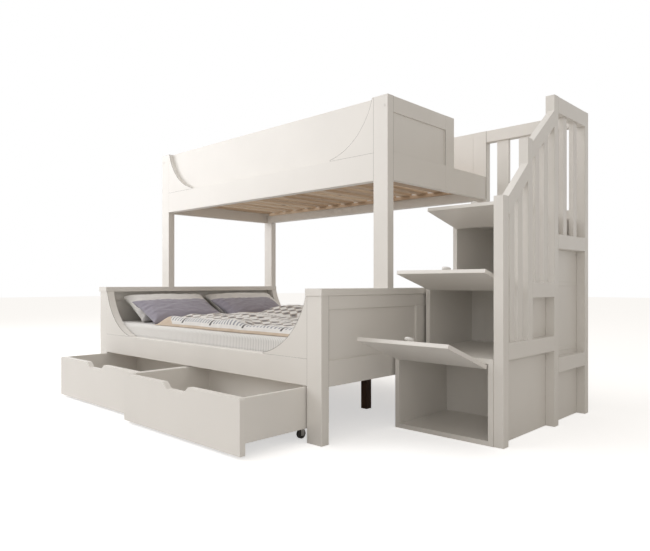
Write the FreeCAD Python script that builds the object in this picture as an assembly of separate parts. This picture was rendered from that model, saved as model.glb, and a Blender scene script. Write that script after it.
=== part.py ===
import FreeCAD, Part
import math
import os

# Family bunk bed with a narrow upper bunk over a wide lower bunk, two rolling
# drawers and a flight of storage stairs. All lengths are in millimetres.
# Bed frame used below: X runs along the bed (0 is the foot end, the stairs stand
# on the +X side), Y runs from the front to the wall, Z is up from the floor.

# ---- Bed, driving sizes --------------------------------------------------------
LOWER_WIDTH = 1495.0
UPPER_WIDTH = 1028.0
TOTAL_HEIGHT = 1635.0
POST_WIDTH = 90.0
POST_DEPTH = 47.0
EDGE_ROUND = 2.0
PANEL_THICK = 16.0
END_RAIL_THICK = 32.0

# ---- Lower bunk -----------------------------------------------------------------
LOWER_RAIL_BOTTOM = 252.0
LOWER_RAIL_HEIGHT = 120.0
CAP_THICK = 32.0
CAP_TOP = 683.0
CAP_OVERHANG = 6.0
END_BOTTOM_RAIL = 115.0
END_TOP_RAIL = 61.0
END_STILE = 78.0
BRACKET_REACH = 300.0
BRACKET_TOP_REACH = 7.0
BRACKET_TIP = 4.0
BRACKET_BELLY_X = 78.0
BRACKET_BELLY_Z = 0.49
LEDGE_WIDTH = 28.0
LEDGE_HEIGHT = 20.0
LOWER_LEDGE_RISE = 28.0
UPPER_LEDGE_RISE = 55.0
SLAT_THICK = 18.0
SLAT_WIDTH = 69.0
SLAT_COUNT = 16
SLAT_END_GAP = 4.0
BEAM_WIDTH = 45.0
BEAM_HEIGHT = 45.0
LEG_SIZE = 42.0
LEG_COUNT = 3
LEG_FROM_END = 369.0

# ---- Upper bunk -----------------------------------------------------------------
UPPER_RAIL_BOTTOM = 1218.0
UPPER_RAIL_HEIGHT = 140.0
UPPER_BRACKET_THICK = 25.0
UPPER_END_TOP_RAIL = 80.0
ENTRY_POST_WIDTH = 88.0
ENTRY_WIDTH = 370.0
ENTRY_POST_THICK = 36.0
SILL_THICK = 26.0
SILL_SETBACK = 5.0
PANEL_SETBACK = 8.0
COVER_CAP_DIAMETER = 13.0
COVER_CAP_PROUD = 1.6
COVER_CAP_FROM_TOP = 51.0
COVER_CAP_FROM_EDGE = 23.0

# ---- Stairs ---------------------------------------------------------------------
STAIR_GAP = 17.0
STAIR_WIDTH = 522.0
STAIR_DEPTH = 990.0
STEP_RUN = 267.5
STEP_RISE = 336.0
FIRST_TREAD_TOP = 378.0
TREAD_THICK = 22.0
FLOOR_THICK = 22.0
SIDE_THICK = 24.0
STORAGE_DEPTH = 430.0
FLAP_THICK = 18.0
FLAP_FOOT_GAPS = (2.0, 18.0, 18.0)
FLAP_SIDE_GAP = 1.5
FLAP_OPEN_ANGLES = (110.0, 106.0, 104.5)
KNOB_DIAMETER = 42.0
KNOB_HEIGHT = 29.0
KNOB_DISC = 13.0
KNOB_NECK_DIAMETER = 19.0
KNOB_WAIST_DIAMETER = 15.0
KNOB_FROM_EDGE = 62.0

# ---- Flap hinges ----------------------------------------------------------------
HINGE_LEAF_THICK = 1.5
HINGE_LEAF_GAP = 0.5
HINGE_AXIS_PROUD = 3.0
HINGE_BARREL_RADIUS = 2.8
HINGE_PIN_RADIUS = 1.3
HINGE_PIN_FIT = 0.05
HINGE_WIDTH = 60.0
HINGE_KNUCKLE_GAP = 0.3
HINGE_FIXED_LEAF = 26.0
HINGE_MOVING_LEAF = 15.0
HINGE_FROM_SIDE = 80.0

# ---- Balustrade ------------------------------------------------------------------
BAL_THICK = 46.0
BAL_POST = 48.0
FRONT_POST_SETBACK = 4.0
FRONT_POST_TOP = 1083.0
MID_POST_SETBACK = 244.0
MID_POST_TOP = 1371.0
TALL_POST_SETBACK = 539.0
HANDRAIL_THICK = 35.0
HANDRAIL_DROP = 80.0
HANDRAIL_1_SLOPE = 0.89
HANDRAIL_2_START = 1360.0
HANDRAIL_2_SLOPE = 0.80
RAIL_HEIGHT = 72.0
RAIL_A_BOTTOM = 374.0
RAIL_B_BOTTOM = 639.0
RAIL_C_BOTTOM = 879.0
RAIL_D_BOTTOM = 262.0
TOP_RAIL_HEIGHT = 80.0
BAL_SLAT_WIDTH = 45.0
BAL_SLAT_THICK = 23.0
BAL_SLATS_PER_BAY = 2
GUARD_TOP_RAIL = 70.0
GUARD_BOTTOM_RAIL = 60.0
GUARD_SLAT_WIDTH = 73.0
GUARD_SLAT_GAP = 75.0
GUARD_FIRST_GAP = 65.0
GUARD_SLAT_COUNT = 3

# ---- Drawers ---------------------------------------------------------------------
DRAWER_GAP = 4.0
DRAWER_FLOOR_GAP = 14.0
DRAWER_TOP_GAP = 4.0
DRAWER_DEPTH = 520.0
DRAWER_FRONT_THICK = 28.0
DRAWER_SIDE_THICK = 16.0
DRAWER_SIDE_INSET = 3.0
DRAWER_SIDE_DROP = 2.0
DRAWER_BOTTOM_HEIGHT = 62.0
DRAWER_BOTTOM_THICK = 10.0
DRAWER_CORNER_ROUND = 12.0
NOTCH_TOP_WIDTH = 210.0
NOTCH_BOTTOM_WIDTH = 140.0
NOTCH_DEPTH = 28.0
DRAWER_RIGHT_OUT = 370.0
DRAWER_LEFT_OUT = 300.0
WHEEL_RADIUS = 22.0
WHEEL_WIDTH = 18.0
WHEEL_FROM_SIDE = 72.0
REAR_WHEEL_FROM_FRONT = 408.0
FRONT_WHEEL_FROM_FRONT = 54.0
AXLE_RADIUS = 3.0
AXLE_FIT = 0.05
FORK_THICK = 2.5
FORK_GAP = 1.0
FORK_CHEEK_WIDTH = 20.0
FORK_PLATE_LENGTH = 44.0
FORK_PLATE_THICK = 3.0

# ---- Bedding ---------------------------------------------------------------------
SOFT_GAP = 0.3
MATTRESS_LENGTH = 2000.0
MATTRESS_SIDE_GAP = 2.5
MATTRESS_END_GAP = 3.0
MATTRESS_HEIGHT = 132.0
MATTRESS_CROWN = 6.0
MATTRESS_ROUND = 24.0
DUVET_PILLOW_GAP = 30.0
DUVET_FOOT_GAP = 40.0
DUVET_SIDE_INSET = 23.0
DUVET_EDGE = 58.0
DUVET_CROWN = 70.0
HEADBOARD_GAP = 20.0
PILLOW_DEPTH = 330.0
PILLOW_THICK = 110.0
PILLOW_TILT = 30.0
PILLOW_FRONT_ROOM = 68.0
PILLOW_WALL_ROOM = 16.0
PILLOW_GAP = 12.0
PILLOW_LIP = 5.0
PILLOW_DRAW_IN = 0.03
PILLOW_PLAY = 2.1
CUSHION_DEPTH = 330.0
CUSHION_THICK = 78.0
CUSHION_TILT = 24.0
CUSHION_NARROWER = 70.0
CUSHION_FRONT_ROOM = 36.0
CUSHION_GAP = 40.0

# ---- Derived places --------------------------------------------------------------
BED_LENGTH = MATTRESS_LENGTH + 2 * (END_RAIL_THICK + MATTRESS_END_GAP)
HEAD_END = -BED_LENGTH
HEAD_POST_INNER = HEAD_END + POST_WIDTH
FOOT_POST_INNER = -POST_WIDTH
UPPER_FRONT = LOWER_WIDTH - UPPER_WIDTH
UPPER_INNER_FRONT = UPPER_FRONT + POST_DEPTH
WALL_INNER = LOWER_WIDTH - POST_DEPTH
CAP_BOTTOM = CAP_TOP - CAP_THICK
LOWER_RAIL_TOP = LOWER_RAIL_BOTTOM + LOWER_RAIL_HEIGHT
UPPER_RAIL_TOP = UPPER_RAIL_BOTTOM + UPPER_RAIL_HEIGHT
STAIR_FRONT = LOWER_WIDTH - STAIR_DEPTH
STAIR_LEFT = STAIR_GAP
STAIR_RIGHT = STAIR_LEFT + STAIR_WIDTH
BAL_RIGHT = STAIR_RIGHT + BAL_THICK
OVERALL_LEFT = HEAD_END - CAP_OVERHANG
OVERALL_FRONT = -max(DRAWER_RIGHT_OUT, DRAWER_LEFT_OUT)
ORIGIN_X = (OVERALL_LEFT + BAL_RIGHT) / 2.0
ORIGIN_Y = (OVERALL_FRONT + LOWER_WIDTH) / 2.0
V = FreeCAD.Vector

os.makedirs("parts", exist_ok=True)


def save(name, solids):
    """Writes one node, moved so that the origin is the middle of the footprint."""
    shape = solids[0] if len(solids) == 1 else Part.makeCompound(solids)
    shape = shape.copy()
    shape.translate(V(-ORIGIN_X, -ORIGIN_Y, 0))
    shape.exportStep("parts/" + name + ".step")


def block(x0, x1, y0, y1, z0, z1):
    """A plain box between two corners."""
    return Part.makeBox(x1 - x0, y1 - y0, z1 - z0, V(x0, y0, z0))


def board(x0, x1, y0, y1, z0, z1, round_by=EDGE_ROUND):
    """A board whose long edges are rounded, along its longest side."""
    sides = (x1 - x0, y1 - y0, z1 - z0)
    run = sides.index(max(sides))
    radius = min(round_by, 0.2 * min(sides))
    body = block(x0, x1, y0, y1, z0, z1)
    edges = []
    for edge in body.Edges:
        ends = [vertex.Point for vertex in edge.Vertexes]
        step = ends[1] - ends[0]
        if abs((step.x, step.y, step.z)[run]) > 0.5 * sides[run]:
            edges.append(edge)
    return body.makeFillet(radius, edges)


def extruded(points, direction):
    """A prism over a closed polygon."""
    wire = Part.makePolygon(points + [points[0]])
    return Part.Face(wire).extrude(direction)


def mirrored_x(shape, plane_x):
    return shape.mirror(V(plane_x, 0, 0), V(1, 0, 0))


# ---- Lower bunk: posts, end frames, caps -------------------------------------------
BED_MIDDLE = HEAD_END / 2.0


def end_pair(shape):
    """A foot-end piece and its mirror image at the head end."""
    return [shape, mirrored_x(shape, BED_MIDDLE)]


def post_pair(x0, z0, z1, y_front):
    """The front and wall posts of one end."""
    front = board(x0, x0 + POST_WIDTH, y_front, y_front + POST_DEPTH, z0, z1)
    back = board(x0, x0 + POST_WIDTH, WALL_INNER, LOWER_WIDTH, z0, z1)
    return [front, back]


save("head_posts", post_pair(HEAD_END, 0, CAP_BOTTOM, 0))
save("foot_posts", post_pair(-POST_WIDTH, 0, CAP_BOTTOM, 0))

END_X0 = -END_RAIL_THICK
STILE_Y0 = (LOWER_WIDTH - END_STILE) / 2.0
STILE_Y1 = STILE_Y0 + END_STILE
BOTTOM_RAIL_TOP = LOWER_RAIL_BOTTOM + END_BOTTOM_RAIL
TOP_RAIL_BOTTOM = CAP_BOTTOM - END_TOP_RAIL
foot_bottom_rail = board(END_X0, 0, POST_DEPTH, WALL_INNER, LOWER_RAIL_BOTTOM, BOTTOM_RAIL_TOP)
foot_top_rail = board(END_X0, 0, POST_DEPTH, WALL_INNER, TOP_RAIL_BOTTOM, CAP_BOTTOM)
foot_stile = board(END_X0, 0, STILE_Y0, STILE_Y1, BOTTOM_RAIL_TOP, TOP_RAIL_BOTTOM)
lower_end_rails = []
for piece in (foot_bottom_rail, foot_top_rail, foot_stile):
    lower_end_rails += end_pair(piece)
save("lower_end_rails", lower_end_rails)

PANEL_X1 = -PANEL_SETBACK
PANEL_X0 = PANEL_X1 - PANEL_THICK
lower_end_panels = []
for y0, y1 in ((POST_DEPTH, STILE_Y0), (STILE_Y1, WALL_INNER)):
    panel = block(PANEL_X0, PANEL_X1, y0, y1, BOTTOM_RAIL_TOP, TOP_RAIL_BOTTOM)
    lower_end_panels += end_pair(panel)
save("lower_end_panels", lower_end_panels)

foot_cap = board(-POST_WIDTH - CAP_OVERHANG, CAP_OVERHANG, -CAP_OVERHANG, LOWER_WIDTH,
                 CAP_BOTTOM, CAP_TOP, 3.0)
save("end_caps", end_pair(foot_cap))

# ---- Lower bunk: side rails and curved brackets --------------------------------------
save("lower_rail_front", [board(HEAD_POST_INNER, FOOT_POST_INNER, 0, POST_DEPTH,
                                LOWER_RAIL_BOTTOM, LOWER_RAIL_TOP)])
save("lower_rail_back", [board(HEAD_POST_INNER, FOOT_POST_INNER, WALL_INNER, LOWER_WIDTH,
                               LOWER_RAIL_BOTTOM, LOWER_RAIL_TOP)])


def bracket(y0, thick, z0, z1):
    """Corner bracket at the foot end: its hollow curve drops from the post to the rail."""
    height = z1 - z0
    x_post = FOOT_POST_INNER
    top = V(x_post - BRACKET_TOP_REACH, y0, z1)
    belly = V(x_post - BRACKET_BELLY_X, y0, z0 + BRACKET_BELLY_Z * height)
    tip = V(x_post - BRACKET_REACH, y0, z0 + BRACKET_TIP)
    toe = V(x_post - BRACKET_REACH, y0, z0)
    heel = V(x_post, y0, z0)
    head = V(x_post, y0, z1)
    edges = [Part.Arc(top, belly, tip).toShape()]
    for start, end in ((tip, toe), (toe, heel), (heel, head), (head, top)):
        edges.append(Part.LineSegment(start, end).toShape())
    return Part.Face(Part.Wire(edges)).extrude(V(0, thick, 0))


lower_brackets = end_pair(bracket(0, POST_DEPTH, LOWER_RAIL_TOP, CAP_BOTTOM))
lower_brackets += end_pair(bracket(WALL_INNER, POST_DEPTH, LOWER_RAIL_TOP, CAP_BOTTOM))
save("lower_brackets", lower_brackets)

# ---- Slat supports and slats ----------------------------------------------------------
SLAT_ZONE_X0 = HEAD_END + END_RAIL_THICK + SLAT_END_GAP
SLAT_ZONE_X1 = -END_RAIL_THICK - SLAT_END_GAP


def ledges(y_front, y_back, z0):
    """Two battens on the inner faces of the side rails."""
    front = board(HEAD_POST_INNER, FOOT_POST_INNER, y_front, y_front + LEDGE_WIDTH,
                  z0, z0 + LEDGE_HEIGHT)
    back = board(HEAD_POST_INNER, FOOT_POST_INNER, y_back - LEDGE_WIDTH, y_back,
                 z0, z0 + LEDGE_HEIGHT)
    return [front, back]


def slats(y_front, y_back, z0):
    """Cross slats shared out evenly between the two end frames."""
    span = SLAT_ZONE_X1 - SLAT_ZONE_X0 - SLAT_WIDTH
    pieces = []
    for i in range(SLAT_COUNT):
        x0 = SLAT_ZONE_X0 + span * i / (SLAT_COUNT - 1)
        pieces.append(board(x0, x0 + SLAT_WIDTH, y_front, y_back, z0, z0 + SLAT_THICK, 4.0))
    return pieces


LOWER_LEDGE_Z = LOWER_RAIL_BOTTOM + LOWER_LEDGE_RISE
UPPER_LEDGE_Z = UPPER_RAIL_BOTTOM + UPPER_LEDGE_RISE
LOWER_SLAT_Z = LOWER_LEDGE_Z + LEDGE_HEIGHT
UPPER_SLAT_Z = UPPER_LEDGE_Z + LEDGE_HEIGHT
save("lower_ledges", ledges(POST_DEPTH, WALL_INNER, LOWER_LEDGE_Z))
save("upper_ledges", ledges(UPPER_INNER_FRONT, WALL_INNER, UPPER_LEDGE_Z))
save("lower_slats", slats(POST_DEPTH + SLAT_END_GAP, WALL_INNER - SLAT_END_GAP, LOWER_SLAT_Z))
save("upper_slats", slats(UPPER_INNER_FRONT + SLAT_END_GAP, WALL_INNER - SLAT_END_GAP,
                          UPPER_SLAT_Z))

BED_MIDDLE_Y = LOWER_WIDTH / 2.0
BEAM_BOTTOM = LOWER_SLAT_Z - BEAM_HEIGHT
save("centre_beam", [board(HEAD_END + END_RAIL_THICK, -END_RAIL_THICK,
                           BED_MIDDLE_Y - BEAM_WIDTH / 2.0, BED_MIDDLE_Y + BEAM_WIDTH / 2.0,
                           BEAM_BOTTOM, LOWER_SLAT_Z)])
centre_legs = []
leg_span = BED_LENGTH - 2 * LEG_FROM_END
for i in range(LEG_COUNT):
    x = -LEG_FROM_END - leg_span * i / (LEG_COUNT - 1)
    centre_legs.append(board(x - LEG_SIZE / 2.0, x + LEG_SIZE / 2.0,
                             BED_MIDDLE_Y - LEG_SIZE / 2.0, BED_MIDDLE_Y + LEG_SIZE / 2.0,
                             0, BEAM_BOTTOM))
save("centre_legs", centre_legs)

# ---- Upper bunk: posts, rails, guards, brackets -------------------------------------------
save("upper_head_posts", post_pair(HEAD_END, CAP_TOP, TOTAL_HEIGHT, UPPER_FRONT))
save("upper_foot_posts", post_pair(-POST_WIDTH, CAP_TOP, TOTAL_HEIGHT, UPPER_FRONT))
save("upper_rail_front", [board(HEAD_POST_INNER, FOOT_POST_INNER, UPPER_FRONT, UPPER_INNER_FRONT,
                                UPPER_RAIL_BOTTOM, UPPER_RAIL_TOP)])
save("upper_rail_back", [board(HEAD_POST_INNER, FOOT_POST_INNER, WALL_INNER, LOWER_WIDTH,
                               UPPER_RAIL_BOTTOM, UPPER_RAIL_TOP)])
GUARD_FRONT_Y = UPPER_FRONT + UPPER_BRACKET_THICK
save("guard_front", [board(HEAD_POST_INNER, FOOT_POST_INNER, GUARD_FRONT_Y, UPPER_INNER_FRONT,
                           UPPER_RAIL_TOP, TOTAL_HEIGHT)])
GUARD_THICK = UPPER_INNER_FRONT - GUARD_FRONT_Y
save("guard_back", [board(HEAD_POST_INNER, FOOT_POST_INNER, WALL_INNER, WALL_INNER + GUARD_THICK,
                          UPPER_RAIL_TOP, TOTAL_HEIGHT)])
save("upper_brackets", end_pair(bracket(UPPER_FRONT, UPPER_BRACKET_THICK,
                                        UPPER_RAIL_TOP, TOTAL_HEIGHT)))

# ---- Upper bunk: end frames and the entry from the stairs ----------------------------------
ENTRY_Y1 = WALL_INNER
ENTRY_Y0 = ENTRY_Y1 - ENTRY_WIDTH
ENTRY_POST_Y0 = ENTRY_Y0 - ENTRY_POST_WIDTH
UPPER_TOP_RAIL_Z = TOTAL_HEIGHT - UPPER_END_TOP_RAIL
head_bottom = board(HEAD_END, HEAD_END + END_RAIL_THICK, UPPER_INNER_FRONT, WALL_INNER,
                    UPPER_RAIL_BOTTOM, UPPER_RAIL_TOP)
head_top = board(HEAD_END, HEAD_END + END_RAIL_THICK, UPPER_INNER_FRONT, WALL_INNER,
                 UPPER_TOP_RAIL_Z, TOTAL_HEIGHT)
foot_bottom = board(END_X0, 0, UPPER_INNER_FRONT, ENTRY_POST_Y0,
                    UPPER_RAIL_BOTTOM, UPPER_RAIL_TOP)
foot_top = board(END_X0, 0, UPPER_INNER_FRONT, ENTRY_POST_Y0, UPPER_TOP_RAIL_Z, TOTAL_HEIGHT)
sill = board(-SILL_SETBACK - SILL_THICK, -SILL_SETBACK, ENTRY_Y0, ENTRY_Y1,
             UPPER_RAIL_BOTTOM, UPPER_RAIL_TOP)
save("upper_end_rails", [head_bottom, head_top, foot_bottom, foot_top, sill])
save("entry_post", [board(-ENTRY_POST_THICK, 0, ENTRY_POST_Y0, ENTRY_Y0,
                          UPPER_RAIL_BOTTOM, TOTAL_HEIGHT)])
foot_panel = block(PANEL_X0, PANEL_X1, UPPER_INNER_FRONT, ENTRY_POST_Y0,
                   UPPER_RAIL_TOP, UPPER_TOP_RAIL_Z)
head_panel = block(HEAD_END + PANEL_SETBACK, HEAD_END + PANEL_SETBACK + PANEL_THICK,
                   UPPER_INNER_FRONT, WALL_INNER, UPPER_RAIL_TOP, UPPER_TOP_RAIL_Z)
save("upper_end_panels", [foot_panel, head_panel])

cover_cap = Part.makeCylinder(COVER_CAP_DIAMETER / 2.0, COVER_CAP_PROUD,
                              V(-COVER_CAP_FROM_EDGE, UPPER_FRONT,
                                TOTAL_HEIGHT - COVER_CAP_FROM_TOP), V(0, -1, 0))
save("cover_caps", end_pair(cover_cap))

# ---- Stairs: cabinets and treads -------------------------------------------------------------
STEPS = (0, 1, 2)
LEFT_INNER = STAIR_LEFT + SIDE_THICK
RIGHT_INNER = STAIR_RIGHT - SIDE_THICK


def step_front(i):
    return STAIR_FRONT + i * STEP_RUN


def tread_top(i):
    return FIRST_TREAD_TOP + i * STEP_RISE


def cabinet_bottom(i):
    return 0.0 if i == 0 else tread_top(i - 1)


def floor_top(i):
    return FLOOR_THICK if i == 0 else tread_top(i - 1)


treads = []
cabinet_boards = [board(LEFT_INNER, RIGHT_INNER, STAIR_FRONT, LOWER_WIDTH, 0, FLOOR_THICK)]
for i in STEPS:
    underside = tread_top(i) - TREAD_THICK
    sides = []
    for x0 in (STAIR_LEFT, RIGHT_INNER):
        sides.append(block(x0, x0 + SIDE_THICK, step_front(i), LOWER_WIDTH,
                           cabinet_bottom(i), underside))
    save("cabinet_%d_sides" % (i + 1), sides)
    treads.append(board(STAIR_LEFT, STAIR_RIGHT, step_front(i), LOWER_WIDTH,
                        underside, tread_top(i)))
    back_y = step_front(i) + STORAGE_DEPTH
    cabinet_boards.append(block(LEFT_INNER, RIGHT_INNER, back_y, back_y + PANEL_THICK,
                                floor_top(i), underside))
save("treads", treads)
save("cabinet_boards", cabinet_boards)

# ---- Stairs: flaps with knobs and butt hinges --------------------------------------------------
# Each flap closes flush between its cabinet's sides, and it swings up about a barrel that
# stands just in front of the tread's lower edge. The flaps are drawn shut, then turned up.
FLAP_X0 = LEFT_INNER + FLAP_SIDE_GAP
FLAP_X1 = RIGHT_INNER - FLAP_SIDE_GAP
HINGE_CENTRES = (FLAP_X0 + HINGE_FROM_SIDE, FLAP_X1 - HINGE_FROM_SIDE)
KNUCKLE = HINGE_WIDTH / 3.0


def hinge_axis(i):
    """A point of the pivot line, which lies midway between the two leaves."""
    z = tread_top(i) - TREAD_THICK - HINGE_LEAF_THICK - HINGE_LEAF_GAP / 2.0
    return V(0, step_front(i) - HINGE_AXIS_PROUD, z)


def barrel(x0, x1, axis, radius):
    return Part.makeCylinder(radius, x1 - x0, V(x0, axis.y, axis.z), V(1, 0, 0))


def fixed_hinge(x_mid, axis):
    """Leaf under the tread with its two outer knuckles and the pin."""
    x0 = x_mid - HINGE_WIDTH / 2.0
    x1 = x_mid + HINGE_WIDTH / 2.0
    z0 = axis.z + HINGE_LEAF_GAP / 2.0
    leaf = block(x0, x1, axis.y, axis.y + HINGE_FIXED_LEAF, z0, z0 + HINGE_LEAF_THICK)
    room = block(x0 + KNUCKLE - HINGE_KNUCKLE_GAP, x1 - KNUCKLE + HINGE_KNUCKLE_GAP,
                 axis.y - 1, axis.y + HINGE_BARREL_RADIUS + HINGE_KNUCKLE_GAP,
                 z0 - 1, z0 + HINGE_LEAF_THICK + 1)
    leaf = leaf.cut(room)
    left = barrel(x0, x0 + KNUCKLE - HINGE_KNUCKLE_GAP, axis, HINGE_BARREL_RADIUS)
    right = barrel(x1 - KNUCKLE + HINGE_KNUCKLE_GAP, x1, axis, HINGE_BARREL_RADIUS)
    pin = barrel(x0, x1, axis, HINGE_PIN_RADIUS)
    return leaf.fuse(left).fuse(right).fuse(pin).removeSplitter()


def moving_hinge(x_mid, axis):
    """Leaf let into the flap's top edge with the middle knuckle, drawn shut."""
    x0 = x_mid - HINGE_WIDTH / 2.0
    x1 = x_mid + HINGE_WIDTH / 2.0
    z1 = axis.z - HINGE_LEAF_GAP / 2.0
    plate = block(x0, x1, axis.y + HINGE_AXIS_PROUD, axis.y + HINGE_AXIS_PROUD + HINGE_MOVING_LEAF,
                  z1 - HINGE_LEAF_THICK, z1)
    neck = block(x0 + KNUCKLE, x1 - KNUCKLE, axis.y, axis.y + HINGE_AXIS_PROUD + 1,
                 z1 - HINGE_LEAF_THICK, z1)
    knuckle = barrel(x0 + KNUCKLE, x1 - KNUCKLE, axis, HINGE_BARREL_RADIUS)
    bore = barrel(x0, x1, axis, HINGE_PIN_RADIUS + HINGE_PIN_FIT)
    return plate.fuse(neck).fuse(knuckle).cut(bore).removeSplitter()


def flap_board(i, axis):
    """The flap, shut, with shallow seats for its hinge leaves in the top edge."""
    y0 = step_front(i)
    z0 = floor_top(i) + FLAP_FOOT_GAPS[i]
    z1 = axis.z - HINGE_LEAF_GAP / 2.0
    panel = board(FLAP_X0, FLAP_X1, y0, y0 + FLAP_THICK, z0, z1)
    for x_mid in HINGE_CENTRES:
        seat = block(x_mid - HINGE_WIDTH / 2.0, x_mid + HINGE_WIDTH / 2.0, y0 - 1,
                     y0 + HINGE_MOVING_LEAF, z1 - HINGE_LEAF_THICK, z1 + 1)
        panel = panel.cut(seat)
    return panel


def knob(i):
    """Round knob on the flap's outer face near its free edge: a waisted neck and a disc."""
    height = floor_top(i) + FLAP_FOOT_GAPS[i] + KNOB_FROM_EDGE
    foot = V((FLAP_X0 + FLAP_X1) / 2.0, step_front(i), height)
    outward = V(0, -1, 0)
    neck_length = KNOB_HEIGHT - KNOB_DISC
    neck = Part.makeCone(KNOB_NECK_DIAMETER / 2.0, KNOB_WAIST_DIAMETER / 2.0, neck_length,
                         foot, outward)
    seat = foot + outward * neck_length
    disc = Part.makeCylinder(KNOB_DIAMETER / 2.0, KNOB_DISC, seat, outward)
    rims = [edge for edge in disc.Edges if edge.BoundBox.YLength < 1]
    disc = disc.makeFillet(0.35 * KNOB_DISC, rims)
    return neck.fuse(disc).removeSplitter()


fixed_leaves = []
for i in STEPS:
    axis = hinge_axis(i)
    turned = (axis, V(1, 0, 0), -FLAP_OPEN_ANGLES[i])
    panel = flap_board(i, axis)
    panel.rotate(*turned)
    save("flap_%d" % (i + 1), [panel])
    grip = knob(i)
    grip.rotate(*turned)
    save("flap_%d_knob" % (i + 1), [grip])
    leaves = [moving_hinge(x_mid, axis) for x_mid in HINGE_CENTRES]
    for leaf in leaves:
        leaf.rotate(*turned)
    save("flap_%d_hinges" % (i + 1), leaves)
    fixed_leaves += [fixed_hinge(x_mid, axis) for x_mid in HINGE_CENTRES]
save("hinge_leaves_fixed", fixed_leaves)

# ---- Balustrade: posts, rails, slats and handrails ----------------------------------------------
FRONT_POST_Y = STAIR_FRONT + FRONT_POST_SETBACK
MID_POST_FRONT = STAIR_FRONT + MID_POST_SETBACK
TALL_POST_FRONT = STAIR_FRONT + TALL_POST_SETBACK
BACK_POST_Y = LOWER_WIDTH - BAL_POST
RAIL_A_TOP = RAIL_A_BOTTOM + RAIL_HEIGHT
RAIL_B_TOP = RAIL_B_BOTTOM + RAIL_HEIGHT
RAIL_C_TOP = RAIL_C_BOTTOM + RAIL_HEIGHT
LANDING_RAIL_Z = TOTAL_HEIGHT - TOP_RAIL_HEIGHT
HANDRAIL_1 = (FRONT_POST_Y + BAL_POST, MID_POST_FRONT, FRONT_POST_TOP, HANDRAIL_1_SLOPE)
HANDRAIL_2 = (MID_POST_FRONT + BAL_POST, TALL_POST_FRONT, HANDRAIL_2_START, HANDRAIL_2_SLOPE)


def bal_board(y0, y1, z0, z1):
    return board(STAIR_RIGHT, BAL_RIGHT, y0, y1, z0, z1)


def sloped(y0, y1, z_top0, z_top1, z_bottom0, z_bottom1, x0, x1):
    """An upright slice between two Y planes with sloping top and bottom."""
    points = [V(x0, y0, z_bottom0), V(x0, y1, z_bottom1), V(x0, y1, z_top1), V(x0, y0, z_top0)]
    return extruded(points, V(x1 - x0, 0, 0))


def handrail(run):
    """Inclined rail between two posts; run is its start, end, top at the start and slope."""
    y0, y1, z0, slope = run
    z1 = z0 + slope * (y1 - y0)
    return sloped(y0, y1, z0, z1, z0 - HANDRAIL_DROP, z1 - HANDRAIL_DROP,
                  BAL_RIGHT - HANDRAIL_THICK, BAL_RIGHT)


def bay_slats(y0, y1, z_bottom, top_at):
    """Upright slats shared out evenly in one bay; top_at gives the height above any Y."""
    gap = (y1 - y0 - BAL_SLATS_PER_BAY * BAL_SLAT_WIDTH) / (BAL_SLATS_PER_BAY + 1)
    x0 = (STAIR_RIGHT + BAL_RIGHT - BAL_SLAT_THICK) / 2.0
    pieces = []
    for i in range(BAL_SLATS_PER_BAY):
        a = y0 + gap + i * (BAL_SLAT_WIDTH + gap)
        b = a + BAL_SLAT_WIDTH
        pieces.append(sloped(a, b, top_at(a), top_at(b), z_bottom, z_bottom,
                             x0, x0 + BAL_SLAT_THICK))
    return pieces


def under(run):
    """Height of a handrail's underside above any Y."""
    return lambda y: run[2] + run[3] * (y - run[0]) - HANDRAIL_DROP


TALL_POST_Y1 = TALL_POST_FRONT + BAL_POST
save("balustrade_posts", [
    bal_board(FRONT_POST_Y, FRONT_POST_Y + BAL_POST, 0, FRONT_POST_TOP),
    bal_board(MID_POST_FRONT, MID_POST_FRONT + BAL_POST, RAIL_A_TOP, MID_POST_TOP),
    bal_board(TALL_POST_FRONT, TALL_POST_Y1, 0, TOTAL_HEIGHT),
    bal_board(BACK_POST_Y, LOWER_WIDTH, 0, TOTAL_HEIGHT)])
save("balustrade_rails", [
    bal_board(FRONT_POST_Y + BAL_POST, TALL_POST_FRONT, RAIL_A_BOTTOM, RAIL_A_TOP),
    bal_board(MID_POST_FRONT + BAL_POST, TALL_POST_FRONT, RAIL_B_BOTTOM, RAIL_B_TOP),
    bal_board(TALL_POST_Y1, BACK_POST_Y, RAIL_C_BOTTOM, RAIL_C_TOP),
    bal_board(TALL_POST_Y1, BACK_POST_Y, RAIL_D_BOTTOM, RAIL_D_BOTTOM + RAIL_HEIGHT),
    bal_board(TALL_POST_Y1, BACK_POST_Y, LANDING_RAIL_Z, TOTAL_HEIGHT)])
save("handrails", [handrail(HANDRAIL_1), handrail(HANDRAIL_2)])
bal_slats = bay_slats(HANDRAIL_1[0], HANDRAIL_1[1], RAIL_A_TOP, under(HANDRAIL_1))
bal_slats += bay_slats(HANDRAIL_2[0], HANDRAIL_2[1], RAIL_B_TOP, under(HANDRAIL_2))
bal_slats += bay_slats(TALL_POST_Y1, BACK_POST_Y, RAIL_C_TOP, lambda y: LANDING_RAIL_Z)
save("balustrade_slats", bal_slats)

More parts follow.
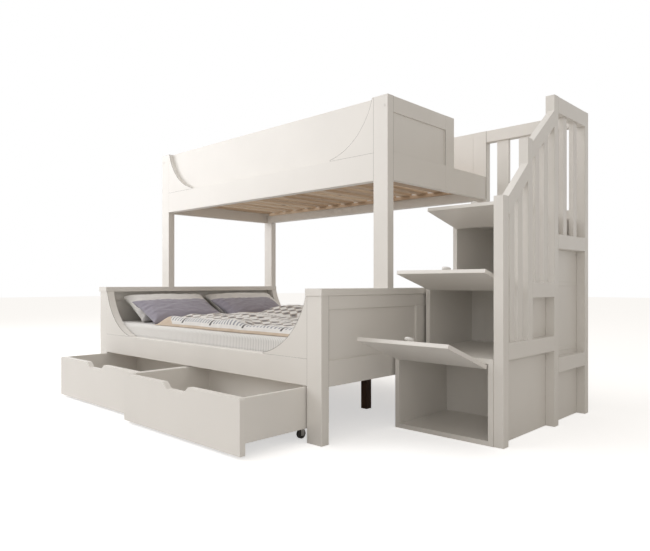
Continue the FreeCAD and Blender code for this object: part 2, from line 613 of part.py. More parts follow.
# ---- Guard behind the landing ----------------------------------------------------------------------
GUARD_Y0 = LOWER_WIDTH - BAL_THICK
GUARD_SLAT_Y0 = GUARD_Y0 + (BAL_THICK - BAL_SLAT_THICK) / 2.0
LANDING_TOP = tread_top(STEPS[-1])
guard_top = board(0, STAIR_RIGHT, GUARD_Y0, LOWER_WIDTH, TOTAL_HEIGHT - GUARD_TOP_RAIL,
                  TOTAL_HEIGHT)
guard_bottom = board(STAIR_LEFT, STAIR_RIGHT, GUARD_Y0, LOWER_WIDTH, LANDING_TOP,
                     LANDING_TOP + GUARD_BOTTOM_RAIL)
landing_guard = [guard_top, guard_bottom]
for i in range(GUARD_SLAT_COUNT):
    x0 = GUARD_FIRST_GAP + i * (GUARD_SLAT_WIDTH + GUARD_SLAT_GAP)
    landing_guard.append(block(x0, x0 + GUARD_SLAT_WIDTH, GUARD_SLAT_Y0,
                               GUARD_SLAT_Y0 + BAL_SLAT_THICK, LANDING_TOP + GUARD_BOTTOM_RAIL,
                               TOTAL_HEIGHT - GUARD_TOP_RAIL))
last_gap_end = GUARD_FIRST_GAP + GUARD_SLAT_COUNT * (GUARD_SLAT_WIDTH + GUARD_SLAT_GAP)
landing_guard.append(block(last_gap_end, STAIR_RIGHT, GUARD_SLAT_Y0,
                           GUARD_SLAT_Y0 + BAL_SLAT_THICK, LANDING_TOP + GUARD_BOTTOM_RAIL,
                           TOTAL_HEIGHT - GUARD_TOP_RAIL))
save("landing_guard", landing_guard)

# ---- Drawers -----------------------------------------------------------------------------------------
DRAWER_WIDTH = (BED_LENGTH - 2 * POST_WIDTH - 3 * DRAWER_GAP) / 2.0
DRAWER_TOP = LOWER_RAIL_BOTTOM - DRAWER_TOP_GAP
DRAWER_BOX_BACK = DRAWER_DEPTH
RIGHT_DRAWER_X1 = FOOT_POST_INNER - DRAWER_GAP
LEFT_DRAWER_X1 = RIGHT_DRAWER_X1 - DRAWER_WIDTH - DRAWER_GAP


def drawer_front(x0, x1, y0):
    """Front board with rounded top corners and a finger notch in the middle of its top."""
    z0 = DRAWER_FLOOR_GAP
    z1 = DRAWER_TOP
    mid = (x0 + x1) / 2.0
    a = NOTCH_TOP_WIDTH / 2.0
    b = NOTCH_BOTTOM_WIDTH / 2.0
    panel = block(x0, x1, y0, y0 + DRAWER_FRONT_THICK, z0, z1)
    top_corners = [edge for edge in panel.Edges
                   if edge.BoundBox.YLength > 1 and edge.BoundBox.ZMin > z1 - 1]
    panel = panel.makeFillet(DRAWER_CORNER_ROUND, top_corners)
    notch = extruded([V(mid - a, y0 - 1, z1 + 1), V(mid - b, y0 - 1, z1 - NOTCH_DEPTH),
                      V(mid + b, y0 - 1, z1 - NOTCH_DEPTH), V(mid + a, y0 - 1, z1 + 1)],
                     V(0, DRAWER_FRONT_THICK + 2, 0))
    return panel.cut(notch)


def drawer_box(x0, x1, y0):
    """Two sides, a back and a bottom behind the front board."""
    a = x0 + DRAWER_SIDE_INSET
    b = x1 - DRAWER_SIDE_INSET
    front = y0 + DRAWER_FRONT_THICK
    back = y0 + DRAWER_BOX_BACK
    t = DRAWER_SIDE_THICK
    z0 = DRAWER_BOTTOM_HEIGHT
    z1 = DRAWER_TOP - DRAWER_SIDE_DROP
    return [board(a, a + t, front, back, z0, z1),
            board(b - t, b, front, back, z0, z1),
            board(a + t, b - t, back - t, back, z0, z1),
            block(a + t, b - t, front, back - t, z0, z0 + DRAWER_BOTTOM_THICK)]


def wheel_places(x0, x1):
    return (x0 + WHEEL_FROM_SIDE, x1 - WHEEL_FROM_SIDE)


def fork(x, y):
    """Plate, two cheeks and the axle of one fixed castor."""
    top = DRAWER_BOTTOM_HEIGHT
    inner = WHEEL_WIDTH / 2.0 + FORK_GAP
    outer = inner + FORK_THICK
    half = FORK_PLATE_LENGTH / 2.0
    cheek = FORK_CHEEK_WIDTH / 2.0
    low = WHEEL_RADIUS - 0.35 * WHEEL_RADIUS
    body = block(x - outer, x + outer, y - half, y + half, top - FORK_PLATE_THICK, top)
    for a, b in ((x - outer, x - inner), (x + inner, x + outer)):
        body = body.fuse(block(a, b, y - cheek, y + cheek, low, top - FORK_PLATE_THICK))
    axle = Part.makeCylinder(AXLE_RADIUS, 2 * outer, V(x - outer, y, WHEEL_RADIUS), V(1, 0, 0))
    return body.fuse(axle).removeSplitter()


def wheel(x, y):
    """Tyred wheel with a running bore."""
    start = V(x - WHEEL_WIDTH / 2.0, y, WHEEL_RADIUS)
    body = Part.makeCylinder(WHEEL_RADIUS, WHEEL_WIDTH, start, V(1, 0, 0))
    rims = [edge for edge in body.Edges if abs(edge.BoundBox.YLength - 2 * WHEEL_RADIUS) < 1
            and edge.BoundBox.XLength < 1]
    body = body.makeFillet(2.5, rims)
    return body.cut(Part.makeCylinder(AXLE_RADIUS + AXLE_FIT, WHEEL_WIDTH, start, V(1, 0, 0)))


for side, x1, pulled in (("left", LEFT_DRAWER_X1, DRAWER_LEFT_OUT),
                         ("right", RIGHT_DRAWER_X1, DRAWER_RIGHT_OUT)):
    x0 = x1 - DRAWER_WIDTH
    y0 = -pulled
    front_y = y0 + FRONT_WHEEL_FROM_FRONT
    rear_y = y0 + REAR_WHEEL_FROM_FRONT
    save("drawer_%s_front" % side, [drawer_front(x0, x1, y0)])
    save("drawer_%s_box" % side, drawer_box(x0, x1, y0))
    save("drawer_%s_forks" % side,
         [fork(x, y) for x in wheel_places(x0, x1) for y in (front_y, rear_y)])
    save("drawer_%s_wheels_front" % side, [wheel(x, front_y) for x in wheel_places(x0, x1)])
    save("drawer_%s_wheels_rear" % side, [wheel(x, rear_y) for x in wheel_places(x0, x1)])

# ---- Bedding on the lower bunk --------------------------------------------------------------------------
MATTRESS_Z0 = LOWER_SLAT_Z + SLAT_THICK + SOFT_GAP
MATTRESS_Z1 = MATTRESS_Z0 + MATTRESS_HEIGHT
MATTRESS_X0 = BED_MIDDLE - MATTRESS_LENGTH / 2.0


def arc(start, middle, end):
    return Part.Arc(start, middle, end).toShape()


def pad_section(x, y0, y1, z0, edge, crown):
    """Closed cross-section in a plane of constant X: flat base, bulging sides, crowned top."""
    mid = (y0 + y1) / 2.0
    bulge = 0.16 * edge
    a = V(x, y0 + bulge, z0)
    b = V(x, y1 - bulge, z0)
    c = V(x, y1 - bulge, z0 + edge)
    d = V(x, y0 + bulge, z0 + edge)
    edges = [Part.LineSegment(a, b).toShape(),
             arc(b, V(x, y1, z0 + edge / 2.0), c),
             arc(c, V(x, mid, z0 + edge + crown), d),
             arc(d, V(x, y0, z0 + edge / 2.0), a)]
    return Part.Wire(edges)


def pad(stations, straight):
    """Loft through cross-sections, each given as x, y0, y1, z0, edge height and crown."""
    return Part.makeLoft([pad_section(*station) for station in stations], True, straight)


MATTRESS_Y0 = POST_DEPTH + MATTRESS_SIDE_GAP
MATTRESS_Y1 = WALL_INNER - MATTRESS_SIDE_GAP
mattress_stations = []
for share in (0.0, 0.012, 0.988, 1.0):
    inset = MATTRESS_ROUND if share in (0.0, 1.0) else 0.0
    crown = MATTRESS_CROWN if inset == 0 else 1.0
    mattress_stations.append((MATTRESS_X0 + share * MATTRESS_LENGTH,
                              MATTRESS_Y0 + inset, MATTRESS_Y1 - inset,
                              MATTRESS_Z0, MATTRESS_HEIGHT - MATTRESS_CROWN, crown))
save("mattress", [pad(mattress_stations, True)])


def pillow_section(y, half_depth, half_thick):
    """Lens-shaped cross-section of a pillow in a plane of constant Y."""
    a = V(-half_depth, y, -PILLOW_LIP)
    b = V(half_depth, y, -PILLOW_LIP)
    c = V(half_depth, y, PILLOW_LIP)
    d = V(-half_depth, y, PILLOW_LIP)
    edges = [arc(a, V(0, y, -half_thick), b),
             Part.LineSegment(b, c).toShape(),
             arc(c, V(0, y, half_thick), d),
             Part.LineSegment(d, a).toShape()]
    return Part.Wire(edges)


def pillow(width, depth, thick):
    """Stuffed pillow about the origin, with thin pinched ends and drawn-in long sides."""
    sections = []
    for share, fill in ((-1.0, 0.12), (-0.93, 0.42), (-0.6, 0.88), (0.0, 1.0),
                        (0.6, 0.88), (0.93, 0.42), (1.0, 0.12)):
        draw_in = PILLOW_DRAW_IN * (1.0 - share * share)
        sections.append(pillow_section(share * width / 2.0, depth / 2.0 * (1.0 - draw_in),
                                       fill * thick / 2.0))
    return Part.makeLoft(sections, True, False)


def placed(shape, tilt, x, y, z):
    """A copy turned about Y by tilt degrees and moved to a place."""
    copy = shape.copy()
    copy.rotate(V(0, 0, 0), V(0, 1, 0), tilt)
    copy.translate(V(x, y, z))
    return copy


def belly(depth, thick):
    """Radius of a pillow's faces, and how far their centres lie from its middle."""
    half = depth / 2.0 * (1.0 - PILLOW_DRAW_IN)
    rise = thick / 2.0 - PILLOW_LIP
    radius = (half * half + rise * rise) / (2.0 * rise)
    return radius, radius - thick / 2.0


PILLOW_WIDTH = (MATTRESS_Y1 - MATTRESS_Y0 - PILLOW_FRONT_ROOM - PILLOW_WALL_ROOM - PILLOW_GAP) / 2.0
PILLOW_LEAN = math.radians(PILLOW_TILT)
PILLOW_X = HEAD_END + END_RAIL_THICK + HEADBOARD_GAP + PILLOW_DEPTH / 2.0 * math.cos(PILLOW_LEAN)
pillow_radius, pillow_centre = belly(PILLOW_DEPTH, PILLOW_THICK)
PILLOW_LIFT = pillow_radius - pillow_centre * math.cos(PILLOW_LEAN) + PILLOW_PLAY
PILLOW_Y = MATTRESS_Y0 + PILLOW_FRONT_ROOM + PILLOW_WIDTH / 2.0
rear = pillow(PILLOW_WIDTH, PILLOW_DEPTH, PILLOW_THICK)
save("pillows", [placed(rear, PILLOW_TILT, PILLOW_X, y, MATTRESS_Z1 + PILLOW_LIFT)
                 for y in (PILLOW_Y, PILLOW_Y + PILLOW_WIDTH + PILLOW_GAP)])

# The thinner pillows rest on the mattress and on the bellies of the first pair: the centres
# of the two touching faces lie the sum of their radii apart.
CUSHION_WIDTH = PILLOW_WIDTH - CUSHION_NARROWER
CUSHION_LEAN = math.radians(CUSHION_TILT)
cushion_radius, cushion_centre = belly(CUSHION_DEPTH, CUSHION_THICK)
CUSHION_LIFT = cushion_radius - cushion_centre * math.cos(CUSHION_LEAN) + PILLOW_PLAY
centres_up = cushion_radius + PILLOW_PLAY + pillow_centre * math.cos(PILLOW_LEAN) - PILLOW_LIFT
centres_apart = pillow_radius + cushion_radius + PILLOW_PLAY
centres_along = math.sqrt(centres_apart ** 2 - centres_up ** 2)
CUSHION_X = (PILLOW_X - pillow_centre * math.sin(PILLOW_LEAN) + centres_along
             - cushion_centre * math.sin(CUSHION_LEAN))
CUSHION_Y = MATTRESS_Y0 + CUSHION_FRONT_ROOM + CUSHION_WIDTH / 2.0
fore = pillow(CUSHION_WIDTH, CUSHION_DEPTH, CUSHION_THICK)
save("cushions", [placed(fore, CUSHION_TILT, CUSHION_X, y, MATTRESS_Z1 + CUSHION_LIFT)
                  for y in (CUSHION_Y, CUSHION_Y + CUSHION_WIDTH + CUSHION_GAP)])

# The duvet lies between those pillows and the foot end and is thickest in the middle.
CUSHION_REACH = CUSHION_DEPTH / 2.0 * math.cos(CUSHION_LEAN)
DUVET_X0 = CUSHION_X + CUSHION_REACH + DUVET_PILLOW_GAP
DUVET_X1 = MATTRESS_X0 + MATTRESS_LENGTH - DUVET_FOOT_GAP
DUVET_Z0 = MATTRESS_Z1 + SOFT_GAP
duvet_y0 = MATTRESS_Y0 + DUVET_SIDE_INSET
duvet_y1 = MATTRESS_Y1 - DUVET_SIDE_INSET
duvet_stations = []
for share, rise in ((0.0, 0.25), (0.08, 0.7), (0.35, 1.0), (0.7, 1.0), (0.93, 0.8), (1.0, 0.35)):
    duvet_stations.append((DUVET_X0 + share * (DUVET_X1 - DUVET_X0), duvet_y0, duvet_y1,
                           DUVET_Z0, DUVET_EDGE * (0.5 + 0.5 * rise), DUVET_CROWN * rise))
save("duvet", [pad(duvet_stations, False)])
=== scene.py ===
import math
import random

import bmesh
import bpy
import numpy as np
from mathutils import Matrix, Vector, noise


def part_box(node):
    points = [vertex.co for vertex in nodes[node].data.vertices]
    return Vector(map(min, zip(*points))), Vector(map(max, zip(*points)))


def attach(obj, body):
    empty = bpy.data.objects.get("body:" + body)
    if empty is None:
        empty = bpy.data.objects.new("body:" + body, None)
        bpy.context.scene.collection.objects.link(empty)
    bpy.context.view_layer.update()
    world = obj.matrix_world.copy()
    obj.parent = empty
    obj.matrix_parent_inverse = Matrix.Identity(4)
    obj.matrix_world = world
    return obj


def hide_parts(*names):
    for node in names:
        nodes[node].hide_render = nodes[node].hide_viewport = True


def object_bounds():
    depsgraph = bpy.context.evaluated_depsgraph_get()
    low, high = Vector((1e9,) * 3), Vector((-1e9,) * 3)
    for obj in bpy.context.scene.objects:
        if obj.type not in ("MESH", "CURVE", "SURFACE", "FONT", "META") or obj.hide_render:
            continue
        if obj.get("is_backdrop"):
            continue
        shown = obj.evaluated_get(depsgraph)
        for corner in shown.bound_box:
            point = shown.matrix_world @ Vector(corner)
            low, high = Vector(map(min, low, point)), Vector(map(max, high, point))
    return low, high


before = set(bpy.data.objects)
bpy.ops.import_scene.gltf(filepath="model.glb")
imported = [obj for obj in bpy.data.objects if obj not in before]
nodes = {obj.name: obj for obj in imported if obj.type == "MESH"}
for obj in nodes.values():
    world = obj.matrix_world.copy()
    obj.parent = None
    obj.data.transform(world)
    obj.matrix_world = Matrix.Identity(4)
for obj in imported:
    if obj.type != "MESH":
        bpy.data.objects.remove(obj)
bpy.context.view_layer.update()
scene = bpy.context.scene
MM = 0.001


# ---- Lacquered boards --------------------------------------------------------------
# Every rail, post, panel, cabinet board and drawer board is planed softwood or board,
# sprayed with a warm white satin lacquer. A trace of grain telegraphs through the film.
def new_material(name, roughness):
    """An empty Principled material with its object coordinates ready to use."""
    material = bpy.data.materials.new(name)
    material.use_nodes = True
    tree = material.node_tree
    shader = tree.nodes["Principled BSDF"]
    shader.inputs["Roughness"].default_value = roughness
    place = tree.nodes.new("ShaderNodeTexCoord")
    return material, tree, shader, place.outputs["Object"]


def stretch(tree, source, scale, turn=(0, 0, 0)):
    """The coordinates scaled per axis, so that a pattern runs long one way."""
    mapping = tree.nodes.new("ShaderNodeMapping")
    mapping.inputs["Scale"].default_value = scale
    mapping.inputs["Rotation"].default_value = turn
    tree.links.new(source, mapping.inputs["Vector"])
    return mapping.outputs["Vector"]


def cloud(tree, source, scale, detail=4.0, rough=0.5):
    """Soft noise, as one value."""
    node = tree.nodes.new("ShaderNodeTexNoise")
    node.inputs["Scale"].default_value = scale
    node.inputs["Detail"].default_value = detail
    node.inputs["Roughness"].default_value = rough
    tree.links.new(source, node.inputs["Vector"])
    return node.outputs["Fac"]


def ramp(tree, value, stops):
    """A value turned into a colour through a list of (place, colour)."""
    node = tree.nodes.new("ShaderNodeValToRGB")
    line = node.color_ramp
    for i, (at, colour) in enumerate(stops):
        stop = line.elements[i] if i < 2 else line.elements.new(at)
        stop.position = at
        stop.color = (*colour, 1.0)
    tree.links.new(value, node.inputs["Fac"])
    return node.outputs["Color"]


def bump(tree, shader, height, distance, strength=1.0, under=None):
    """Relief in metres, on top of an earlier relief if there is one."""
    node = tree.nodes.new("ShaderNodeBump")
    node.inputs["Strength"].default_value = strength
    node.inputs["Distance"].default_value = distance
    tree.links.new(height, node.inputs["Height"])
    if under is not None:
        tree.links.new(under, node.inputs["Normal"])
    tree.links.new(node.outputs["Normal"], shader.inputs["Normal"])
    return node.outputs["Normal"]


def spread(tree, value, low, high):
    """A value between 0 and 1 moved to another range."""
    node = tree.nodes.new("ShaderNodeMapRange")
    node.inputs["To Min"].default_value = low
    node.inputs["To Max"].default_value = high
    tree.links.new(value, node.inputs["Value"])
    return node.outputs["Result"]


def lacquer(name, grain_scale, tint):
    """Warm white satin lacquer whose faint grain runs along the board's length."""
    material, tree, shader, place = new_material(name, 0.42)
    shade = cloud(tree, place, 2.3, 3.0)
    low = tuple(c * 0.955 for c in tint)
    tree.links.new(ramp(tree, shade, [(0.3, low), (0.7, tint)]), shader.inputs["Base Color"])
    tree.links.new(spread(tree, cloud(tree, place, 38.0, 3.0), 0.34, 0.47),
                   shader.inputs["Roughness"])
    shader.inputs["Coat Weight"].default_value = 0.18
    shader.inputs["Coat Roughness"].default_value = 0.22
    grain = cloud(tree, stretch(tree, place, grain_scale), 1.0, 5.0, 0.62)
    first = bump(tree, shader, grain, 0.0005, 0.35)
    bump(tree, shader, cloud(tree, place, 420.0, 2.0), 0.00012, 0.5, first)
    return material


WARM_WHITE = (0.80, 0.775, 0.735)
lacquer_along_x = lacquer("warm_white_lacquer_x", (3.0, 90.0, 90.0), WARM_WHITE)
lacquer_along_y = lacquer("warm_white_lacquer_y", (90.0, 3.0, 90.0), WARM_WHITE)
lacquer_along_z = lacquer("warm_white_lacquer_z", (90.0, 90.0, 3.0), WARM_WHITE)


def finish_node(name, material):
    """Gives a CAD piece its one finish."""
    mesh = nodes[name].data
    mesh.materials.clear()
    mesh.materials.append(material)


for name in ("lower_rail_front", "lower_rail_back", "lower_brackets", "upper_rail_front",
             "upper_rail_back", "guard_front", "guard_back", "upper_brackets", "flap_1", "flap_2",
             "flap_3", "drawer_left_front", "drawer_right_front", "treads", "landing_guard"):
    finish_node(name, lacquer_along_x)
for name in ("end_caps", "lower_end_rails", "upper_end_rails", "lower_end_panels",
             "upper_end_panels", "balustrade_rails", "handrails", "cabinet_1_sides",
             "cabinet_2_sides", "cabinet_3_sides", "drawer_left_box", "drawer_right_box"):
    finish_node(name, lacquer_along_y)
for name in ("head_posts", "foot_posts", "upper_head_posts", "upper_foot_posts", "entry_post",
             "balustrade_posts", "balustrade_slats", "cabinet_boards"):
    finish_node(name, lacquer_along_z)


# ---- Slats and their battens ---------------------------------------------------------
# Both bunks have sprung cross slats of unpainted pine, planed and eased at the edges, that
# lie on pine battens screwed to the side rails. A pine beam carries the lower ones midway.
def pine(name, grain_scale, ring_turn):
    """Bare pine with growth rings that run along the piece, and a few brown knots."""
    material, tree, shader, place = new_material(name, 0.55)
    along = stretch(tree, place, grain_scale, ring_turn)
    fibre = cloud(tree, along, 1.0, 6.0, 0.6)
    rings = tree.nodes.new("ShaderNodeTexWave")
    rings.wave_type = "BANDS"
    rings.bands_direction = "Z"
    rings.inputs["Scale"].default_value = 0.12
    rings.inputs["Distortion"].default_value = 7.0
    rings.inputs["Detail"].default_value = 3.0
    rings.inputs["Detail Scale"].default_value = 1.3
    tree.links.new(along, rings.inputs["Vector"])
    blend = tree.nodes.new("ShaderNodeMix")
    blend.data_type = "FLOAT"
    blend.inputs["Factor"].default_value = 0.5
    tree.links.new(fibre, blend.inputs["A"])
    tree.links.new(rings.outputs["Fac"], blend.inputs["B"])
    wood = ramp(tree, blend.outputs["Result"],
                [(0.2, (0.47, 0.33, 0.215)), (0.8, (0.72, 0.575, 0.43)), (0.5, (0.62, 0.47, 0.335))])
    knots = tree.nodes.new("ShaderNodeTexVoronoi")
    knots.inputs["Scale"].default_value = 3.1
    tree.links.new(place, knots.inputs["Vector"])
    spot = ramp(tree, knots.outputs["Distance"], [(0.03, (1, 1, 1)), (0.075, (0, 0, 0))])
    colour = tree.nodes.new("ShaderNodeMix")
    colour.data_type = "RGBA"
    tree.links.new(spot, colour.inputs["Factor"])
    tree.links.new(wood, colour.inputs["A"])
    colour.inputs["B"].default_value = (0.20, 0.105, 0.055, 1)
    tree.links.new(colour.outputs["Result"], shader.inputs["Base Color"])
    bump(tree, shader, fibre, 0.0006, 0.5)
    return material


pine_along_y = pine("pine_along_y", (42.0, 2.2, 42.0), (0, 0, 0))
pine_along_x = pine("pine_along_x", (2.2, 42.0, 42.0), (0, 0, 0))
finish_node("lower_slats", pine_along_y)
finish_node("upper_slats", pine_along_y)
for name in ("lower_ledges", "upper_ledges", "centre_beam"):
    finish_node(name, pine_along_x)


# ---- Middle legs -----------------------------------------------------------------------
# Square beech legs under the beam, stained dark brown, seen below the foot end.
def stain(name, dark, light):
    """Brown stained wood with upright pores."""
    material, tree, shader, place = new_material(name, 0.45)
    pores = cloud(tree, stretch(tree, place, (160.0, 160.0, 7.0)), 1.0, 5.0, 0.6)
    tree.links.new(ramp(tree, pores, [(0.35, dark), (0.7, light)]), shader.inputs["Base Color"])
    bump(tree, shader, pores, 0.0004, 0.5)
    return material


finish_node("centre_legs", stain("brown_stain", (0.060, 0.032, 0.022), (0.140, 0.080, 0.055)))


# ---- Castors ------------------------------------------------------------------------------
# Each drawer rolls on four small castors: a zinc-plated fork under the drawer's bottom and
# a moulded grey wheel on a fixed axle.
def plated(name, colour, roughness):
    """Zinc-plated steel with fine drawing marks and dull patches."""
    material, tree, shader, place = new_material(name, roughness)
    shader.inputs["Metallic"].default_value = 1.0
    marks = cloud(tree, stretch(tree, place, (900.0, 60.0, 900.0)), 1.0, 3.0)
    tree.links.new(ramp(tree, marks, [(0.3, tuple(c * 0.8 for c in colour)), (0.7, colour)]),
                   shader.inputs["Base Color"])
    tree.links.new(spread(tree, cloud(tree, place, 55.0), roughness - 0.08, roughness + 0.1),
                   shader.inputs["Roughness"])
    bump(tree, shader, marks, 0.00005, 0.4)
    return material


def moulded(name, colour, roughness, mottle=0.9):
    """Moulded plastic with a faint spark-eroded texture."""
    material, tree, shader, place = new_material(name, roughness)
    tree.links.new(ramp(tree, cloud(tree, place, 30.0),
                        [(0.3, tuple(c * mottle for c in colour)), (0.7, colour)]),
                   shader.inputs["Base Color"])
    tree.links.new(spread(tree, cloud(tree, place, 70.0), roughness - 0.05, roughness + 0.07),
                   shader.inputs["Roughness"])
    bump(tree, shader, cloud(tree, place, 900.0, 2.0), 0.00006, 0.6)
    return material


zinc = plated("zinc_plate", (0.62, 0.62, 0.61), 0.36)
wheel_grey = moulded("wheel_grey", (0.075, 0.073, 0.072), 0.5)
for side in ("left", "right"):
    finish_node("drawer_%s_forks" % side, zinc)
    finish_node("drawer_%s_wheels_front" % side, wheel_grey)
    finish_node("drawer_%s_wheels_rear" % side, wheel_grey)


# ---- Flap fittings and cover caps ------------------------------------------------------------
# The lift-up flaps hang on zinc butt hinges and have one glossy white turned knob each.
# Two small caps hide the bolts in the upper posts.
gloss_white = moulded("gloss_white_knob", (0.84, 0.83, 0.81), 0.2, 0.97)
satin_cap = moulded("satin_cap", (0.78, 0.76, 0.73), 0.4, 0.96)
for i in (1, 2, 3):
    finish_node("flap_%d_knob" % i, gloss_white)
    finish_node("flap_%d_hinges" % i, zinc)
finish_node("hinge_leaves_fixed", zinc)
finish_node("cover_caps", satin_cap)


# ---- Joints, painted shade -----------------------------------------------------------------------
# Where a rounded board edge meets its neighbour a hairline groove stays open. Thin dark bars
# set into it are painted shade: round the curved brackets, along the posts and beside the entry post.
GROOVE_WIDE, GROOVE_IN, BRACKET_REACH = 1.3 * MM, 0.35 * MM, 300 * MM
SHADE_THICK, SHADE_LAP = 1 * MM, 0.1 * MM
bars = []
for rail, top in (("lower_rail_front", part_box("foot_posts")[1].z),
                  ("upper_rail_front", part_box("upper_foot_posts")[1].z)):
    low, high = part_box(rail)
    near, far = low.y + GROOVE_IN, low.y + GROOVE_IN + SHADE_THICK
    for x0, x1 in ((low.x, low.x + BRACKET_REACH), (high.x - BRACKET_REACH, high.x)):
        bars.append(((x0, near, high.z - GROOVE_WIDE), (x1, far, high.z + SHADE_LAP)))
    for x0, x1 in ((low.x - GROOVE_WIDE, low.x + SHADE_LAP),
                   (high.x - SHADE_LAP, high.x + GROOVE_WIDE)):
        bars.append(((x0, near, low.z), (x1, far, top)))
for node in ("lower_end_rails", "upper_end_rails"):
    low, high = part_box(node)
    x1 = high.x - GROOVE_IN
    for y0, y1 in ((low.y - GROOVE_WIDE, low.y + SHADE_LAP),
                   (high.y - SHADE_LAP, high.y + GROOVE_WIDE)):
        bars.append(((x1 - SHADE_THICK, y0, low.z), (x1, y1, high.z)))
low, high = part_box("entry_post")
bars.append(((high.x - GROOVE_IN - SHADE_THICK, low.y - SHADE_LAP, low.z),
             (high.x - GROOVE_IN, low.y + GROOVE_WIDE, high.z)))
painted_joint_shade_form = bmesh.new()
bar_faces = [(0, 1, 3, 2), (4, 6, 7, 5), (0, 4, 5, 1), (2, 3, 7, 6), (0, 2, 6, 4), (1, 5, 7, 3)]
for low, high in bars:
    made = [painted_joint_shade_form.verts.new((x, y, z)) for x in (low[0], high[0]) for y in (low[1], high[1])
            for z in (low[2], high[2])]
    for face in bar_faces:
        painted_joint_shade_form.faces.new([made[k] for k in face])
# Painted shade also along the curved edges of both brackets: a dark bar hugs each short edge.
for node in ("lower_brackets", "upper_brackets"):
    low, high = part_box(node)
    mesh = nodes[node].data
    near, far = low.y + GROOVE_IN, low.y + GROOVE_IN + SHADE_THICK
    outline = {}
    for face in mesh.polygons:
        if face.normal.y < -0.99 and face.center.y < low.y + SHADE_LAP:
            for key in face.edge_keys:
                outline[key] = outline.get(key, 0) + 1
    for (i, j), uses in outline.items():
        a, b = mesh.vertices[i].co, mesh.vertices[j].co
        straight = min(abs(a.x - b.x), abs(a.z - b.z)) < 0.05 * MM
        if uses > 1 or straight or (a - b).length > 100 * MM:
            continue
        middle = (a + b) / 2
        corner = Vector((low.x if middle.x < (low.x + high.x) / 2 else high.x, 0, low.z))
        out = Vector((b.z - a.z, 0, a.x - b.x)).normalized()
        if out.x * (corner.x - middle.x) + out.z * (corner.z - middle.z) > 0:
            out.negate()
        made = [painted_joint_shade_form.verts.new((end.x + out.x * reach, y, end.z + out.z * reach))
                for end in (a, b) for y in (near, far) for reach in (-0.2 * MM, 1.5 * MM)]
        for face in bar_faces:
            painted_joint_shade_form.faces.new([made[k] for k in face])
bmesh.ops.recalc_face_normals(painted_joint_shade_form, faces=painted_joint_shade_form.faces)
painted_joint_shade_mesh = bpy.data.meshes.new("joint_shade")
painted_joint_shade_form.to_mesh(painted_joint_shade_mesh)
painted_joint_shade_form.free()
painted_joint_shade_piece = bpy.data.objects.new("joint_shade", painted_joint_shade_mesh)
scene.collection.objects.link(painted_joint_shade_piece)
# The bars' dark brown-grey finish is painted shade, made with the moulded-plastic helper.
painted_joint_shade_mesh.materials.append(moulded("joint_shade", (0.10, 0.085, 0.072), 0.8))
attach(painted_joint_shade_piece, "bed_and_stairs")


# ---- Screws ----------------------------------------------------------------------------------------
# Countersunk screw heads hold each hinge leaf and each slat end. One node tree sets a low
# head, a cone cut flat on top, on every point, turned to the direction that the point carries.
def screw_tree():
    """Geometry Nodes: one head on each point, with named sizes."""
    group = bpy.data.node_groups.new("screw_heads", "GeometryNodeTree")
    sockets = {}
    group.interface.new_socket("Geometry", in_out="INPUT", socket_type="NodeSocketGeometry")
    for label, start in (("Radius", 0.0035), ("Height", 0.0009)):
        socket = group.interface.new_socket(label, in_out="INPUT", socket_type="NodeSocketFloat")
        socket.default_value = start
        sockets[label] = socket.identifier
    socket = group.interface.new_socket("Metal", in_out="INPUT", socket_type="NodeSocketMaterial")
    sockets["Metal"] = socket.identifier
    group.interface.new_socket("Geometry", in_out="OUTPUT", socket_type="NodeSocketGeometry")

    def add(kind, **settings):
        node = group.nodes.new(kind)
        for key, setting in settings.items():
            setattr(node, key, setting)
        return node

    wire = group.links.new
    start, end = add("NodeGroupInput"), add("NodeGroupOutput")
    head = add("GeometryNodeMeshCone")
    head.inputs["Vertices"].default_value = 16
    wire(start.outputs["Radius"], head.inputs["Radius Bottom"])
    narrower = add("ShaderNodeMath", operation="MULTIPLY")
    narrower.inputs[1].default_value = 0.72
    wire(start.outputs["Radius"], narrower.inputs[0])
    wire(narrower.outputs[0], head.inputs["Radius Top"])
    wire(start.outputs["Height"], head.inputs["Depth"])
    facing = add("GeometryNodeInputNamedAttribute", data_type="FLOAT_VECTOR")
    facing.inputs["Name"].default_value = "facing"
    turn = add("FunctionNodeAlignRotationToVector", axis="Z")
    wire(facing.outputs["Attribute"], turn.inputs["Vector"])
    place = add("GeometryNodeInstanceOnPoints")
    wire(start.outputs["Geometry"], place.inputs["Points"])
    wire(head.outputs["Mesh"], place.inputs["Instance"])
    wire(turn.outputs["Rotation"], place.inputs["Rotation"])
    real = add("GeometryNodeRealizeInstances")
    paint = add("GeometryNodeSetMaterial")
    wire(place.outputs["Instances"], real.inputs["Geometry"])
    wire(real.outputs["Geometry"], paint.inputs["Geometry"])
    wire(start.outputs["Metal"], paint.inputs["Material"])
    wire(paint.outputs["Geometry"], end.inputs["Geometry"])
    return group, sockets


screw_group, screw_sockets = screw_tree()


def add_screws(name, spots, radius, body):
    """Screw heads at (place, direction) pairs, made one plain mesh on one body."""
    points = bpy.data.meshes.new(name + "_points")
    points.from_pydata([tuple(place) for place, _ in spots], [], [])
    way = points.attributes.new("facing", "FLOAT_VECTOR", "POINT")
    for k, (_, direction) in enumerate(spots):
        way.data[k].vector = direction
    holder = bpy.data.objects.new(name + "_points", points)
    scene.collection.objects.link(holder)
    change = holder.modifiers.new("heads", "NODES")
    change.node_group = screw_group
    change[screw_sockets["Radius"]] = radius
    change[screw_sockets["Metal"]] = zinc
    solved = holder.evaluated_get(bpy.context.evaluated_depsgraph_get())
    mesh = bpy.data.meshes.new_from_object(solved)
    bpy.data.objects.remove(holder)
    piece = bpy.data.objects.new(name, mesh)
    scene.collection.objects.link(piece)
    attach(piece, body)


